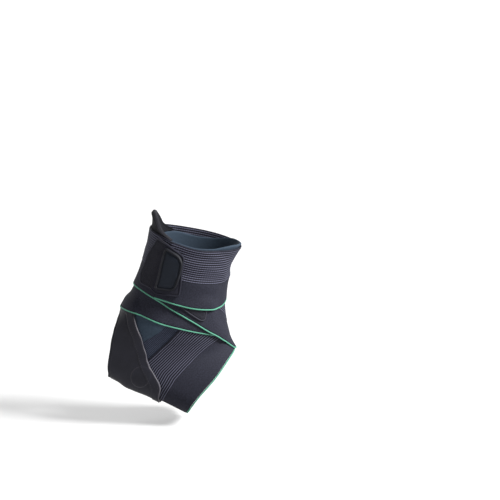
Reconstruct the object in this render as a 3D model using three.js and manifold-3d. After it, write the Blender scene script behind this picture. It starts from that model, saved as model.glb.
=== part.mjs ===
import * as THREE from 'three';
import { mergeVertices } from 'three/addons/utils/BufferGeometryUtils.js';
import Module from 'manifold-3d';

// Ankle brace for a right foot, worn: a knitted sleeve, a heel panel and two elastic straps that
// start under the midfoot, cross over the instep and wrap the ankle. Millimetres, +X to the toes,
// +Y to the inner side of the foot, +Z up, with the origin at the centre of the ankle joint.

// Driving dimensions of the ankle that the brace fits, in millimetres
const LEG_HEIGHT = 100;
const SOLE_DEPTH = 66;
const FOOT_REACH = 80;
const HEEL_REACH = 48.5;
const ANKLE_HALF_WIDTH = 32.5;
const ANKLE_BONE_RISE = 4;

// The heel is lifted by this angle, so the sole slopes down to the toes
const HEEL_LIFT_DEGREES = 22;

// Walls, widths and clearances, in millimetres
const SLEEVE_WALL = 2.4;
const RIM_PAD_WALL = 3.8;
const HEEL_PANEL_WALL = 2.6;
const STRAP_WALL = 1.8;
const STRAP_WIDTH = 57;
const EDGE_TAPE_WIDTH = 1.9;
const PATCH_WALL = 1.6;
const TAB_RIM_WALL = 2.8;
const TAB_FLOOR_WALL = 1.9;
const LAYER_GAP = 0.5;
const LEAST_GAP = 0.12;
const SIDE_GAP = 0.3;
const SLEEVE_SETBACK = 2.5;

// A layer that leaves the edge of the one below stays level for the flat and comes down on the ramp
const LAP_FLAT = 4;
const LAP_RAMP = 11;

// Closure patch and pull tab, in millimetres along and across the strap
const PATCH_LENGTH = 47;
const PATCH_WIDTH = 52;
const TAB_LENGTH = 23;
const TAB_WIDTH = 42;
const TAB_RIM_WIDTH = 3.4;
const TAB_BEVEL = 0.8;
const PAD_CORNER_RADIUS = 4;
const UNDER_PATCH_LENGTH = 31;
const UNDER_PATCH_WIDTH = 32;

// Heel opening, in millimetres
const OPENING_HALF_WIDTH = 28.2;
const OPENING_FRONT = 29;

// Spacing of the faces
const COLUMN_DEGREES = 9;
const TRACE_DEGREES = 1.5;
const STRAP_CELL = 7.6;
const SLEEVE_ROWS = 16;
const STRAP_ROWS = 7;
const PANEL_ROWS = 13;
const RIM_PAD_ROWS = 3;
const PAD_SIDES = 24;
const CLOSURE_RINGS = 3;
const UNDER_PATCH_RINGS = 2;
const WALK_STEPS = 24;
const COLUMN_SAMPLES = 60;
const END_SAMPLES = 10;
const SLOPE_STEP = 0.004;
const SLOPE_STEP_DEGREES = 0.04;

// Sections of the ankle from the shin down to the midfoot. A section is a tilted oval from a point on
// the front to a point on the back. X and Z are shares of the reach or height that they lie in:
// forward of FOOT_REACH, back of HEEL_REACH, up of LEG_HEIGHT and down of SOLE_DEPTH. Outer, inner
// and ridge, the sideways lean of the instep, are shares of ANKLE_HALF_WIDTH; widest is the share of
// the oval's depth where it is widest, and the full columns say how square its two halves are.
const SECTION_COLUMNS = [
  'frontX', 'frontZ', 'backX', 'backZ', 'outer', 'inner', 'widest', 'frontFull', 'backFull', 'ridge',
];
const SECTIONS = [
  [0.54, 1.12, -1, 1.12, 1.14, 1.14, 0.5, 2.1, 2.1, 0],
  [0.485, 0.93, -0.83, 0.91, 1.046, 1.046, 0.5, 2.1, 2.1, 0],
  [0.462, 0.71, -0.735, 0.67, 0.97, 0.97, 0.5, 2.1, 2.1, 0],
  [0.506, 0.53, -0.69, 0.43, 0.954, 0.954, 0.5, 2.1, 2.1, 0.015],
  [0.585, 0.37, -0.715, 0.2, 1, 1, 0.47, 2.1, 2.1, 0.03],
  [0.67, 0.25, -0.775, -0.03, 1.06, 1.046, 0.44, 2.1, 2.1, 0.046],
  [0.744, 0.165, -0.9, -0.31, 1.046, 1.03, 0.42, 2.1, 2.15, 0.06],
  [0.794, 0.11, -0.97, -0.6, 1, 1, 0.4, 2.1, 2.2, 0.09],
  [0.844, 0.07, -0.83, -0.86, 0.97, 0.954, 0.38, 2.1, 2.4, 0.123],
  [0.888, 0.04, -0.371, -0.924, 0.97, 0.938, 0.36, 2.1, 2.7, 0.154],
  [0.931, 0.015, 0.125, -0.926, 1.015, 0.97, 0.35, 2.1, 2.9, 0.17],
  [0.975, -0.015, 0.45, -0.95, 1.092, 1.03, 0.35, 2.15, 3, 0.185],
  [1.025, -0.053, 0.75, -0.98, 1.17, 1.108, 0.36, 2.2, 3, 0.185],
  [1.125, -0.136, 1, -1, 1.23, 1.17, 0.38, 2.2, 3, 0.185],
];

// Ankle bones: the station and angle of each rise, and how far it spreads
const ANKLE_BONES = [
  { station: 5.15, angle: 98, stationSpread: 0.75, angleSpread: 22 },
  { station: 4.75, angle: 266, stationSpread: 0.8, angleSpread: 24 },
];

// Top edge of the sleeve and of the rim pad by angle: 0 is the shin, 90 the side, 180 the back. The rim
// pad starts this many degrees round from the shin, where it has come down to nothing.
const RIM_PAD_START = 121;
const RIM = [
  { angle: 0, sleeve: 0.38, pad: 1.3 },
  { angle: 30, sleeve: 0.47, pad: 1.3 },
  { angle: 44, sleeve: 0.63, pad: 1.3 },
  { angle: 63, sleeve: 0.93, pad: 1.3 },
  { angle: 90, sleeve: 1.15, pad: 1.3 },
  { angle: 115, sleeve: 1.2, pad: 1.2 },
  { angle: 130, sleeve: 1.3, pad: 1.1 },
  { angle: 144, sleeve: 1.42, pad: 0.95 },
  { angle: 158, sleeve: 1.45, pad: 0.6 },
  { angle: 170, sleeve: 1.45, pad: 0.42 },
  { angle: 180, sleeve: 1.45, pad: 0.38 },
];

// Root of a strap, from the middle of the sole over its own side to the instep. Turn is the angle
// travelled along the green edge, edge the station of the green tape, lean how many degrees the strap's
// cross line turns for each station that it climbs, and reach the cross line's length in strap widths.
const STRAP_ROOT = [
  { turn: 1, edge: 11.95, lean: 0, reach: 1 },
  { turn: 62, edge: 11.65, lean: 2, reach: 1.02 },
  { turn: 84, edge: 11.53, lean: 2.8, reach: 1.04 },
  { turn: 98, edge: 11.43, lean: 0.1, reach: 1.08 },
  { turn: 117, edge: 11.3, lean: -3, reach: 1.12 },
  { turn: 137, edge: 10.9, lean: -5.7, reach: 1.16 },
  { turn: 154, edge: 10.5, lean: -7.6, reach: 1.2 },
  { turn: 171, edge: 10.05, lean: -9.6, reach: 1.2 },
  { turn: 180, edge: 9.98, lean: -9.6, reach: 1.16 },
  { turn: 187, edge: 9.9, lean: -9.4, reach: 1.12 },
];

// The lower strap goes on round the inner side and the back to the front of the outer side
const LOWER_WRAP = [
  { turn: 192, edge: 8.4, lean: -9.2, reach: 1.05 },
  { turn: 204, edge: 6.65, lean: -9, reach: 1 },
  { turn: 223, edge: 5.6, lean: -8, reach: 1 },
  { turn: 240, edge: 5.15, lean: -6.5, reach: 1 },
  { turn: 264, edge: 4.8, lean: -5, reach: 1 },
  { turn: 300, edge: 4.65, lean: -1, reach: 1 },
  { turn: 335, edge: 4.75, lean: 0, reach: 1 },
  { turn: 360, edge: 4.82, lean: 0, reach: 1 },
  { turn: 385, edge: 4.76, lean: 0, reach: 1 },
  { turn: 411, edge: 4.75, lean: 0, reach: 1 },
  { turn: 440, edge: 4.98, lean: 0, reach: 1 },
  { turn: 462, edge: 5.15, lean: 0, reach: 1 },
  { turn: 479, edge: 5.4, lean: -1, reach: 1 },
  { turn: 496, edge: 5.7, lean: -2, reach: 1 },
  { turn: 513, edge: 6.1, lean: -3, reach: 1 },
];

// The upper strap goes on round the outer side, the back, the inner side and the shin, and ends on
// the outer side under the closure patch
const UPPER_WRAP = [
  { turn: 192, edge: 8.35, lean: -9.2, reach: 1.05 },
  { turn: 204, edge: 6.62, lean: -9, reach: 1 },
  { turn: 223.5, edge: 5.48, lean: -9, reach: 1 },
  { turn: 239.5, edge: 4.85, lean: -8, reach: 1 },
  { turn: 264, edge: 4.3, lean: -7.5, reach: 1 },
  { turn: 296.5, edge: 3.83, lean: -6, reach: 1.02 },
  { turn: 330, edge: 3.64, lean: -3, reach: 1.02 },
  { turn: 368, edge: 3.6, lean: 0, reach: 1.02 },
  { turn: 410, edge: 3.55, lean: 0, reach: 1 },
  { turn: 450, edge: 3.5, lean: 0, reach: 1 },
  { turn: 500, edge: 3.4, lean: 0, reach: 1 },
  { turn: 540, edge: 3.42, lean: 0, reach: 1 },
  { turn: 556, edge: 3.62, lean: 0, reach: 1.06 },
  { turn: 570, edge: 3.82, lean: 0, reach: 1.1 },
  { turn: 590, edge: 3.88, lean: 0, reach: 1.04 },
  { turn: 610, edge: 3.9, lean: 0, reach: 1 },
  { turn: 630, edge: 3.85, lean: 0, reach: 0.99 },
  { turn: 657, edge: 3.78, lean: 0, reach: 1.02 },
];

// Stretches of the straps, from turn to turn
const LOWER_ROOT = [0, 180];
const LOWER_ROUND = [180, 513];
const LOWER_END = [345, 513];
const UPPER_ROOT = [0, 150];
const UPPER_FIRST_PASS = [0, 400];
const UPPER_END = [500, 657];

// Turns between which a strap climbs onto what it crosses
const ONTO_LOWER = [20, 60];
const ONTO_PANEL = [180, 230];
const ONTO_ROOT = [330, 400];
const ONTO_FIRST_PASS = [385, 440];

// Heel panel by angle from the shin, the same on both sides: its upper and lower edge. It is one piece
// round the heel and under it, with the heel opening cut through.
const HEEL_PANEL = [
  { angle: 87, top: 8.0, bottom: 8.35 },
  { angle: 90, top: 7.2, bottom: 8.85 },
  { angle: 99, top: 6.5, bottom: 9.45 },
  { angle: 108, top: 5.93, bottom: 9.82 },
  { angle: 117, top: 5.5, bottom: 10.12 },
  { angle: 126, top: 5.1, bottom: 10.25 },
  { angle: 135, top: 4.75, bottom: 10.3 },
  { angle: 144, top: 4.5, bottom: 10.3 },
  { angle: 162, top: 4.5, bottom: 10.3 },
  { angle: 180, top: 4.5, bottom: 10.3 },
];

// Half of the heel opening, from its top to below the sole: height as a share of SOLE_DEPTH and half
// width as a share of OPENING_HALF_WIDTH
const OPENING = [
  { height: 0.01, width: 0 },
  { height: -0.01, width: 0.2 },
  { height: -0.05, width: 0.38 },
  { height: -0.18, width: 0.66 },
  { height: -0.35, width: 0.86 },
  { height: -0.53, width: 0.97 },
  { height: -0.73, width: 1 },
  { height: -1.3, width: 0.97 },
];

// Outlines of the pads on the straps: along the strap as a share of the pad's length and up it as a
// share of the pad's width
const CLOSURE_OUTLINE = [
  { along: 0, up: 0.03 },
  { along: 0.42, up: 0 },
  { along: 0.58, up: 0.12 },
  { along: 0.9, up: 0.14 },
  { along: 1, up: 0.34 },
  { along: 0.95, up: 0.7 },
  { along: 0.78, up: 1 },
  { along: 0.5, up: 0.98 },
  { along: 0.03, up: 0.87 },
];
const TAB_OUTLINE = [
  { along: 0.95, up: 0 },
  { along: 1, up: 1 },
  { along: 0.3, up: 0.94 },
  { along: 0.04, up: 0.82 },
  { along: 0, up: 0.55 },
  { along: 0.07, up: 0.2 },
  { along: 0.2, up: 0.08 },
];
const UNDER_PATCH_OUTLINE = [
  { along: 0.03, up: 0.02 },
  { along: 0.2, up: 0 },
  { along: 1, up: 0.42 },
  { along: 1, up: 1 },
  { along: 0, up: 1 },
];

// Where the pads sit: the station and angle of the corner that their lengths are measured from
const CLOSURE_CORNER = { station: 3.72, angle: 92 };
const TAB_CORNER = { station: 3.38, angle: 93.5 };
const UNDER_PATCH_CORNER = { station: 4.62, angle: 50 };

const COLOURS = {
  slateKnit: 0x3b4752,
  blackPad: 0x1b1b20,
  laminate: 0x2a2a31,
  elastic: 0x2b2b35,
  green: 0x5fb58c,
  hookFabric: 0x222229,
  mouldedRubber: 0x272b33,
};

const { clamp, lerp, degToRad, smoothstep } = THREE.MathUtils;

// A share of the size on its own side of zero
function spread(share, positiveSize, negativeSize) {
  return share * (share > 0 ? positiveSize : negativeSize);
}

const sections = SECTIONS.map((row) => {
  const shares = Object.fromEntries(SECTION_COLUMNS.map((name, i) => [name, row[i]]));
  return {
    ...shares,
    frontX: shares.frontX * FOOT_REACH,
    frontZ: spread(shares.frontZ, LEG_HEIGHT, SOLE_DEPTH),
    backX: spread(shares.backX, FOOT_REACH, HEEL_REACH),
    backZ: spread(shares.backZ, LEG_HEIGHT, SOLE_DEPTH),
    outer: shares.outer * ANKLE_HALF_WIDTH,
    inner: shares.inner * ANKLE_HALF_WIDTH,
    ridge: shares.ridge * ANKLE_HALF_WIDTH,
  };
});

// The section at any station, by a smooth curve through the rows above and below
function sectionAt(station) {
  const last = sections.length - 1;
  const at = clamp(station, 0, last - 1e-6);
  const index = Math.floor(at);
  const share = at - index;
  const near = sections[index];
  const far = sections[index + 1];
  const section = {};
  for (const key of Object.keys(near)) {
    const before = index > 0 ? sections[index - 1][key] : 2 * near[key] - far[key];
    const after = index + 2 <= last ? sections[index + 2][key] : 2 * far[key] - near[key];
    const straight = far[key] - before;
    const bend = 2 * before - 5 * near[key] + 4 * far[key] - after;
    const twist = 3 * near[key] - before - 3 * far[key] + after;
    section[key] = near[key] + 0.5 * share * (straight + share * (bend + share * twist));
  }
  return section;
}

// Smooth curve without overshoot through the rows of a table
function curveThrough(rows, from, to) {
  const x = rows.map((row) => row[from]);
  const y = rows.map((row) => row[to]);
  const last = x.length - 1;
  const rise = x.slice(1).map((value, i) => (y[i + 1] - y[i]) / (value - x[i]));
  const slope = y.map((value, i) => {
    if (i === 0) return rise[0];
    if (i === last) return rise[last - 1];
    const product = rise[i - 1] * rise[i];
    return product > 0 ? (2 * product) / (rise[i - 1] + rise[i]) : 0;
  });
  return (value) => {
    const at = clamp(value, x[0], x[last]);
    let i = 0;
    while (i < last - 1 && at > x[i + 1]) i += 1;
    const span = x[i + 1] - x[i];
    const t = (at - x[i]) / span;
    const bend = 3 * rise[i] - 2 * slope[i] - slope[i + 1];
    const twist = slope[i] + slope[i + 1] - 2 * rise[i];
    return y[i] + span * t * (slope[i] + t * (bend + t * twist));
  };
}

// Straight lines through the rows of a table
function straightThrough(rows, from, to) {
  return (value) => {
    let i = 0;
    while (i < rows.length - 2 && value > rows[i + 1][from]) i += 1;
    const share = (value - rows[i][from]) / (rows[i + 1][from] - rows[i][from]);
    return lerp(rows[i][to], rows[i + 1][to], clamp(share, 0, 1));
  };
}

// A point of the ankle at a station and an angle: 0 is the front, 90 the outer side, 180 the back
function anklePoint(station, angle) {
  const section = sectionAt(station);
  const turn = degToRad(angle);
  const forward = Math.cos(turn);
  const aside = Math.sin(turn);
  const full = forward > 0 ? section.frontFull : section.backFull;
  const radius = (Math.abs(forward) ** full + Math.abs(aside) ** full) ** (-1 / full);
  const half = forward > 0 ? 1 - section.widest : section.widest;
  const along = section.widest + half * radius * forward;
  const width = aside > 0 ? section.outer : section.inner;
  let y = section.ridge * along * along - width * radius * aside;
  for (const bone of ANKLE_BONES) {
    const across = (THREE.MathUtils.euclideanModulo(angle - bone.angle + 180, 360) - 180) / bone.angleSpread;
    const down = (station - bone.station) / bone.stationSpread;
    y -= Math.sign(aside) * ANKLE_BONE_RISE * Math.exp(-across * across - down * down);
  }
  return new THREE.Vector3(
    lerp(section.backX, section.frontX, along),
    y,
    lerp(section.backZ, section.frontZ, along),
  );
}

// A point that stands off the ankle by a height, square to its surface
function place(station, angle, height) {
  const down = anklePoint(station + SLOPE_STEP, angle).sub(anklePoint(station - SLOPE_STEP, angle));
  const next = anklePoint(station, angle + SLOPE_STEP_DEGREES);
  const round = next.sub(anklePoint(station, angle - SLOPE_STEP_DEGREES));
  const out = round.cross(down).normalize();
  return anklePoint(station, angle).addScaledVector(out, height);
}

// Millimetres for one station along a column, and for one degree round the ankle
function stationLength(station, angle) {
  const above = anklePoint(station - SLOPE_STEP, angle);
  return above.distanceTo(anklePoint(station + SLOPE_STEP, angle)) / (2 * SLOPE_STEP);
}

function degreeLength(station, angle, height) {
  return place(station, angle - 1, height).distanceTo(place(station, angle + 1, height)) / 2;
}

// The place reached by walking up from a station for a distance, turning by lean degrees a station
function walkUp(station, angle, distance, lean = 0) {
  const at = { station, angle };
  for (let i = 0; i < WALK_STEPS; i += 1) {
    const up = stationLength(at.station, at.angle);
    const aside = lean * degreeLength(at.station, at.angle, SLEEVE_WALL);
    const climb = distance / WALK_STEPS / Math.hypot(up, aside);
    at.station -= climb;
    at.angle += lean * climb;
  }
  return at;
}

// A strap: side is 1 when its root is on the outer side and -1 on the inner side. A cross line runs
// from the green edge to the far edge.
function makeStrap(side, wrap) {
  const rows = [...STRAP_ROOT, ...wrap];
  const tape = curveThrough(rows, 'turn', 'edge');
  const reach = curveThrough(rows, 'turn', 'reach');
  const lean = curveThrough(rows, 'turn', 'lean');
  const start = rows[0].turn;
  const end = rows[rows.length - 1].turn;
  const angle = (turn) => side * (180 - turn);
  const inset = SIDE_GAP + EDGE_TAPE_WIDTH / 2;
  const edge = (turn) => tape(turn) - inset / stationLength(tape(turn), angle(turn));
  const crossLine = (turn) => {
    const far = walkUp(edge(turn), angle(turn), reach(turn) * STRAP_WIDTH, -side * lean(turn));
    return { turn, edge: edge(turn), far: far.station, farTurn: 180 - side * far.angle };
  };
  const lines = [];
  for (let turn = start; turn < end; turn += TRACE_DEGREES) lines.push(crossLine(turn));
  lines.push(crossLine(end));
  const trace = lines.map((line) => ({
    ...line,
    edgePoint: anklePoint(line.edge, angle(line.turn)),
    farPoint: anklePoint(line.far, angle(line.farTurn)),
  }));
  return { side, angle, start, end, edge, crossLine, trace };
}

const lowerStrap = makeStrap(1, LOWER_WRAP);
const upperStrap = makeStrap(-1, UPPER_WRAP);

// 1 on a region and 0 away from it, by the distance outside its edge
function lap(outside) {
  return 1 - smoothstep(outside, LAP_FLAT, LAP_FLAT + LAP_RAMP);
}

// How much a stretch of a strap covers a point: 1 on it, 0 beyond the lap round it
function strapCover(strap, first, last) {
  const stretch = strap.trace.filter((line) => line.turn >= first && line.turn <= last);
  const start = stretch[0];
  const end = stretch[stretch.length - 1];
  const farRows = stretch.map((line) => ({ turn: line.farTurn, far: line.far }));
  const farAt = straightThrough(farRows, 'turn', 'far');
  const ends = [start, end].flatMap((line) => {
    const points = [];
    for (let i = 0; i <= END_SAMPLES; i += 1) {
      const share = i / END_SAMPLES;
      const turn = lerp(line.turn, line.farTurn, share);
      points.push(anklePoint(lerp(line.edge, line.far, share), strap.angle(turn)));
    }
    return points;
  });
  const border = [...stretch.flatMap((line) => [line.edgePoint, line.farPoint]), ...ends];
  const isWithin = (station, turn) => {
    const edge = strap.edge(clamp(turn, start.turn, end.turn));
    const far = farAt(turn);
    const share = (edge - station) / (edge - far);
    if (share < 0 || share > 1) return false;
    return turn >= lerp(start.turn, start.farTurn, share) && turn <= lerp(end.turn, end.farTurn, share);
  };
  const lowestTurn = Math.min(start.turn, start.farTurn);
  return (station, angle) => {
    const smallest = 180 - strap.side * angle;
    const firstTurn = smallest + 360 * Math.ceil((lowestTurn - smallest) / 360);
    for (let turn = firstTurn; turn <= end.turn; turn += 360) {
      if (isWithin(station, turn)) return 1;
    }
    const point = anklePoint(station, angle);
    const outside = Math.min(...border.map((place) => place.distanceTo(point)));
    return lap(outside - EDGE_TAPE_WIDTH - SIDE_GAP);
  };
}

const panelTop = curveThrough(HEEL_PANEL, 'angle', 'top');
const panelBottom = curveThrough(HEEL_PANEL, 'angle', 'bottom');
const panelStart = HEEL_PANEL[0].angle;

// The same angle seen from the nearer side, 0 at the front and 180 at the back
function fold(angle) {
  const turn = THREE.MathUtils.euclideanModulo(angle, 360);
  return turn > 180 ? 360 - turn : turn;
}

function panelCover(station, angle) {
  const from = fold(angle);
  const near = Math.max(from, panelStart);
  const scale = stationLength(station, angle);
  const above = (panelTop(near) - station) * scale;
  const below = (station - panelBottom(near)) * scale;
  const beyond = (near - from) * degreeLength(station, near, SLEEVE_WALL);
  return lap(Math.max(above, below, beyond));
}

const padTop = curveThrough(RIM, 'angle', 'pad');
const sleeveTop = curveThrough(RIM, 'angle', 'sleeve');

function padCover(station, angle) {
  const scale = stationLength(station, angle);
  const below = (station - sleeveTop(fold(angle))) * scale;
  const before = (RIM_PAD_START - fold(angle)) * degreeLength(station, angle, SLEEVE_WALL);
  return lap(Math.max(below, before));
}

// Heights of each layer's inner face over the ankle
const rootOfLower = strapCover(lowerStrap, ...LOWER_ROOT);
const wrapOfLower = strapCover(lowerStrap, ...LOWER_ROUND);
const secondOfLower = strapCover(lowerStrap, ...LOWER_END);
const rootOfUpper = strapCover(upperStrap, ...UPPER_ROOT);
const firstOfUpper = strapCover(upperStrap, ...UPPER_FIRST_PASS);
const strapLayer = STRAP_WALL + LAYER_GAP;
const panelLayer = HEEL_PANEL_WALL + LAYER_GAP;
const sleeveLayer = SLEEVE_WALL + LAYER_GAP;

function onSleeve(station, angle) {
  return sleeveLayer + (RIM_PAD_WALL - SLEEVE_WALL) * padCover(station, angle);
}

function panelHeight(station, angle) {
  const roots = Math.max(rootOfLower(station, angle), rootOfUpper(station, angle));
  return sleeveLayer + strapLayer * roots;
}

function lowerHeight(station, turn) {
  const angle = lowerStrap.angle(turn);
  const base = onSleeve(station, angle);
  const onPanel = panelLayer * panelCover(station, angle) * smoothstep(turn, ...ONTO_PANEL);
  const onRoot = strapLayer * rootOfLower(station, angle) * smoothstep(turn, ...ONTO_ROOT);
  return base + onPanel + onRoot;
}

// The height over the sleeve and the lower strap, which lies double where its end crosses its root
function overLower(station, angle) {
  const root = rootOfLower(station, angle);
  const layers = Math.max(root, wrapOfLower(station, angle)) + Math.min(root, secondOfLower(station, angle));
  return onSleeve(station, angle) + strapLayer * layers;
}

function upperHeight(station, turn) {
  const angle = upperStrap.angle(turn);
  const climb = smoothstep(turn, ...ONTO_LOWER);
  const base = lerp(onSleeve(station, angle), overLower(station, angle), climb);
  const onPanel = panelLayer * panelCover(station, angle) * smoothstep(turn, ...ONTO_PANEL);
  const firstPass = strapLayer * firstOfUpper(station, angle) + underPatchLift(station, angle);
  return base + onPanel + firstPass * smoothstep(turn, ...ONTO_FIRST_PASS);
}

// Walls between an inner and an outer face, column by column round the ankle. Each column is a loop
// of points: the inner face from the upper edge down, then the outer face back up.
function wallGeometry(columns, closed, flip) {
  const size = columns[0].length;
  const half = size / 2;
  const positions = columns.flat().flatMap((point) => [point.x, point.y, point.z]);
  const index = [];
  const quad = (a, b, c, d) => index.push(...(flip ? [a, c, b, a, d, c] : [a, b, c, a, c, d]));
  const strips = closed ? columns.length : columns.length - 1;
  for (let i = 0; i < strips; i += 1) {
    const here = i * size;
    const next = ((i + 1) % columns.length) * size;
    for (let j = 0; j < size; j += 1) {
      const k = (j + 1) % size;
      quad(here + j, next + j, next + k, here + k);
    }
  }
  if (!closed) {
    const end = (columns.length - 1) * size;
    for (let j = 0; j < half - 1; j += 1) {
      const across = size - 1 - j;
      quad(j, j + 1, across - 1, across);
      quad(end + j, end + across, end + across - 1, end + j + 1);
    }
  }
  const geometry = new THREE.BufferGeometry();
  geometry.setAttribute('position', new THREE.Float32BufferAttribute(positions, 3));
  geometry.setIndex(index);
  return geometry;
}

// One line of a wall from its upper to its lower place, with rows of equal length
function wallColumn(upper, lower, rows, height, wall, growth) {
  const placeAt = (share) => [
    lerp(upper.station, lower.station, share),
    lerp(upper.angle, lower.angle, share),
  ];
  const lengths = [0];
  for (let i = 1; i <= COLUMN_SAMPLES; i += 1) {
    const from = anklePoint(...placeAt((i - 1) / COLUMN_SAMPLES));
    const to = anklePoint(...placeAt(i / COLUMN_SAMPLES));
    lengths.push(lengths[i - 1] + from.distanceTo(to));
  }
  const inside = [];
  const outside = [];
  let at = 0;
  for (let row = 0; row <= rows; row += 1) {
    const target = (lengths[COLUMN_SAMPLES] * row) / rows;
    while (at < COLUMN_SAMPLES - 1 && lengths[at + 1] < target) at += 1;
    const share = (at + (target - lengths[at]) / (lengths[at + 1] - lengths[at])) / COLUMN_SAMPLES;
    const [station, angle] = placeAt(share);
    const base = height(station, angle);
    inside.push(place(station, angle, base - growth));
    outside.push(place(station, angle, base + wall + growth));
  }
  return [...inside, ...outside.reverse()];
}

// Evenly spaced angles from the first to the last, at most a column apart
function anglesBetween(first, last) {
  const count = Math.ceil((last - first) / COLUMN_DEGREES);
  return Array.from({ length: count + 1 }, (_, i) => lerp(first, last, i / count));
}

// The turns at which a strap has its cross lines, so that neither edge moves more than a cell
function crossLines(strap) {
  const chosen = [strap.trace[0]];
  let last = strap.trace[0];
  strap.trace.forEach((line, i) => {
    const next = strap.trace[i + 1];
    if (!next) return;
    const move = Math.max(last.edgePoint.distanceTo(next.edgePoint), last.farPoint.distanceTo(next.farPoint));
    if (move > STRAP_CELL) {
      chosen.push(line);
      last = line;
    }
  });
  return [...chosen, strap.trace[strap.trace.length - 1]];
}

function strapGeometry(strap, height, growth = 0) {
  const columns = crossLines(strap).map((line) => {
    const far = { station: line.far, angle: strap.angle(line.farTurn) };
    const edge = { station: line.edge, angle: strap.angle(line.turn) };
    const heightAt = (station, angle) => height(station, 180 - strap.side * angle);
    return wallColumn(far, edge, STRAP_ROWS, heightAt, STRAP_WALL, growth);
  });
  return wallGeometry(columns, false, strap.side < 0);
}

// The woven edge: a square cord beside the green edge of a strap
function edgeGeometry(strap, height) {
  const frames = crossLines(strap).map((line) => {
    const angle = strap.angle(line.turn);
    const base = height(line.edge, line.turn);
    return { low: place(line.edge, angle, base), high: place(line.edge, angle, base + STRAP_WALL) };
  });
  const columns = frames.map((frame, i) => {
    const before = frames[Math.max(i - 1, 0)].low;
    const after = frames[Math.min(i + 1, frames.length - 1)].low;
    const along = after.clone().sub(before).normalize();
    const up = frame.high.clone().sub(frame.low).normalize();
    const aside = along.cross(up).normalize().multiplyScalar(strap.side);
    const corner = (point, distance) => point.clone().addScaledVector(aside, distance);
    return [
      corner(frame.low, SIDE_GAP),
      corner(frame.low, SIDE_GAP + EDGE_TAPE_WIDTH),
      corner(frame.high, SIDE_GAP + EDGE_TAPE_WIDTH),
      corner(frame.high, SIDE_GAP),
    ];
  });
  return wallGeometry(columns, false, strap.side < 0);
}

// The sleeve and the pieces that go round it
function sleeveGeometry(growth = 0) {
  const columns = [];
  for (let angle = 0; angle < 360; angle += COLUMN_DEGREES) {
    const turn = Math.max(180 - fold(angle), lowerStrap.start);
    const top = { station: sleeveTop(fold(angle)), angle };
    const toe = walkUp(lowerStrap.edge(turn), angle, SLEEVE_SETBACK - growth);
    columns.push(wallColumn(top, toe, SLEEVE_ROWS, () => 0, SLEEVE_WALL, growth));
  }
  return wallGeometry(columns, true, true);
}

function rimPadGeometry(growth = 0) {
  const columns = anglesBetween(RIM_PAD_START, 360 - RIM_PAD_START).map((angle) => {
    const top = { station: padTop(fold(angle)), angle };
    const bottom = walkUp(sleeveTop(fold(angle)), angle, SIDE_GAP);
    return wallColumn(top, bottom, RIM_PAD_ROWS, () => 0, RIM_PAD_WALL, growth);
  });
  return wallGeometry(columns, false, true);
}

function heelPanelGeometry(growth = 0) {
  const columns = anglesBetween(panelStart, 360 - panelStart).map((angle) => {
    const top = { station: panelTop(fold(angle)), angle };
    const bottom = { station: panelBottom(fold(angle)), angle };
    return wallColumn(top, bottom, PANEL_ROWS, panelHeight, HEEL_PANEL_WALL, growth);
  });
  return wallGeometry(columns, false, true);
}

// Solid that cuts the heel opening: half of its outline mirrored and carried back from the sole
function openingGeometry(growth) {
  const right = OPENING.map((row) => new THREE.Vector2(
    row.width * OPENING_HALF_WIDTH + growth,
    row.height * SOLE_DEPTH + growth,
  ));
  const left = right.map((point) => new THREE.Vector2(-point.x, point.y)).reverse();
  const outline = new THREE.Shape();
  const top = new THREE.Vector2(0, right[0].y);
  outline.setFromPoints([top, ...right.slice(1), ...left.slice(0, -1)]);
  const geometry = new THREE.ExtrudeGeometry(outline, { depth: HEEL_REACH * 2, bevelEnabled: false });
  const turn = new THREE.Matrix4().makeBasis(
    new THREE.Vector3(0, -1, 0),
    new THREE.Vector3(0, 0, 1),
    new THREE.Vector3(-1, 0, 0),
  );
  geometry.applyMatrix4(turn);
  geometry.translate(growth - OPENING_FRONT, 0, 0);
  return geometry;
}

// Solids for the boolean cut
const wasm = await Module();
wasm.setup();

function solidOf(geometry) {
  const bare = geometry.clone();
  bare.deleteAttribute('normal');
  bare.deleteAttribute('uv');
  const merged = mergeVertices(bare, 1e-4);
  return new wasm.Manifold(new wasm.Mesh({
    numProp: 3,
    vertProperties: new Float32Array(merged.attributes.position.array),
    triVerts: new Uint32Array(merged.index.array),
  }));
}

function cut(geometry, ...tools) {
  const solid = tools.reduce((rest, tool) => rest.subtract(solidOf(tool)), solidOf(geometry));
  const mesh = solid.getMesh();
  const result = new THREE.BufferGeometry();
  result.setAttribute('position', new THREE.BufferAttribute(mesh.vertProperties, 3));
  result.setIndex(new THREE.BufferAttribute(mesh.triVerts, 1));
  return result;
}

// Closed outline through corners, each rounded by a curve that starts a radius before it
function roundedOutline(corners) {
  const outline = new THREE.Shape();
  corners.forEach((corner, i) => {
    const before = corners[(i + corners.length - 1) % corners.length];
    const after = corners[(i + 1) % corners.length];
    const stepTo = (other) => {
      const away = other.clone().sub(corner);
      return corner.clone().add(away.setLength(Math.min(PAD_CORNER_RADIUS, away.length() / 2)));
    };
    const from = stepTo(before);
    const to = stepTo(after);
    if (i === 0) outline.moveTo(from.x, from.y);
    else outline.lineTo(from.x, from.y);
    outline.quadraticCurveTo(corner.x, corner.y, to.x, to.y);
  });
  outline.closePath();
  return outline;
}

// Outline of a pad on the straps as evenly spaced stations and angles
function padOutline(rows, corner, length, width, height) {
  const across = degreeLength(corner.station, corner.angle, height);
  const up = stationLength(corner.station - 1, corner.angle);
  const outline = roundedOutline(rows.map((row) => new THREE.Vector2(row.along * length, row.up * width)));
  return outline.getSpacedPoints(PAD_SIDES).slice(0, PAD_SIDES).map((point) => ({
    station: corner.station - point.y / up,
    angle: corner.angle + point.x / across,
  }));
}

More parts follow.
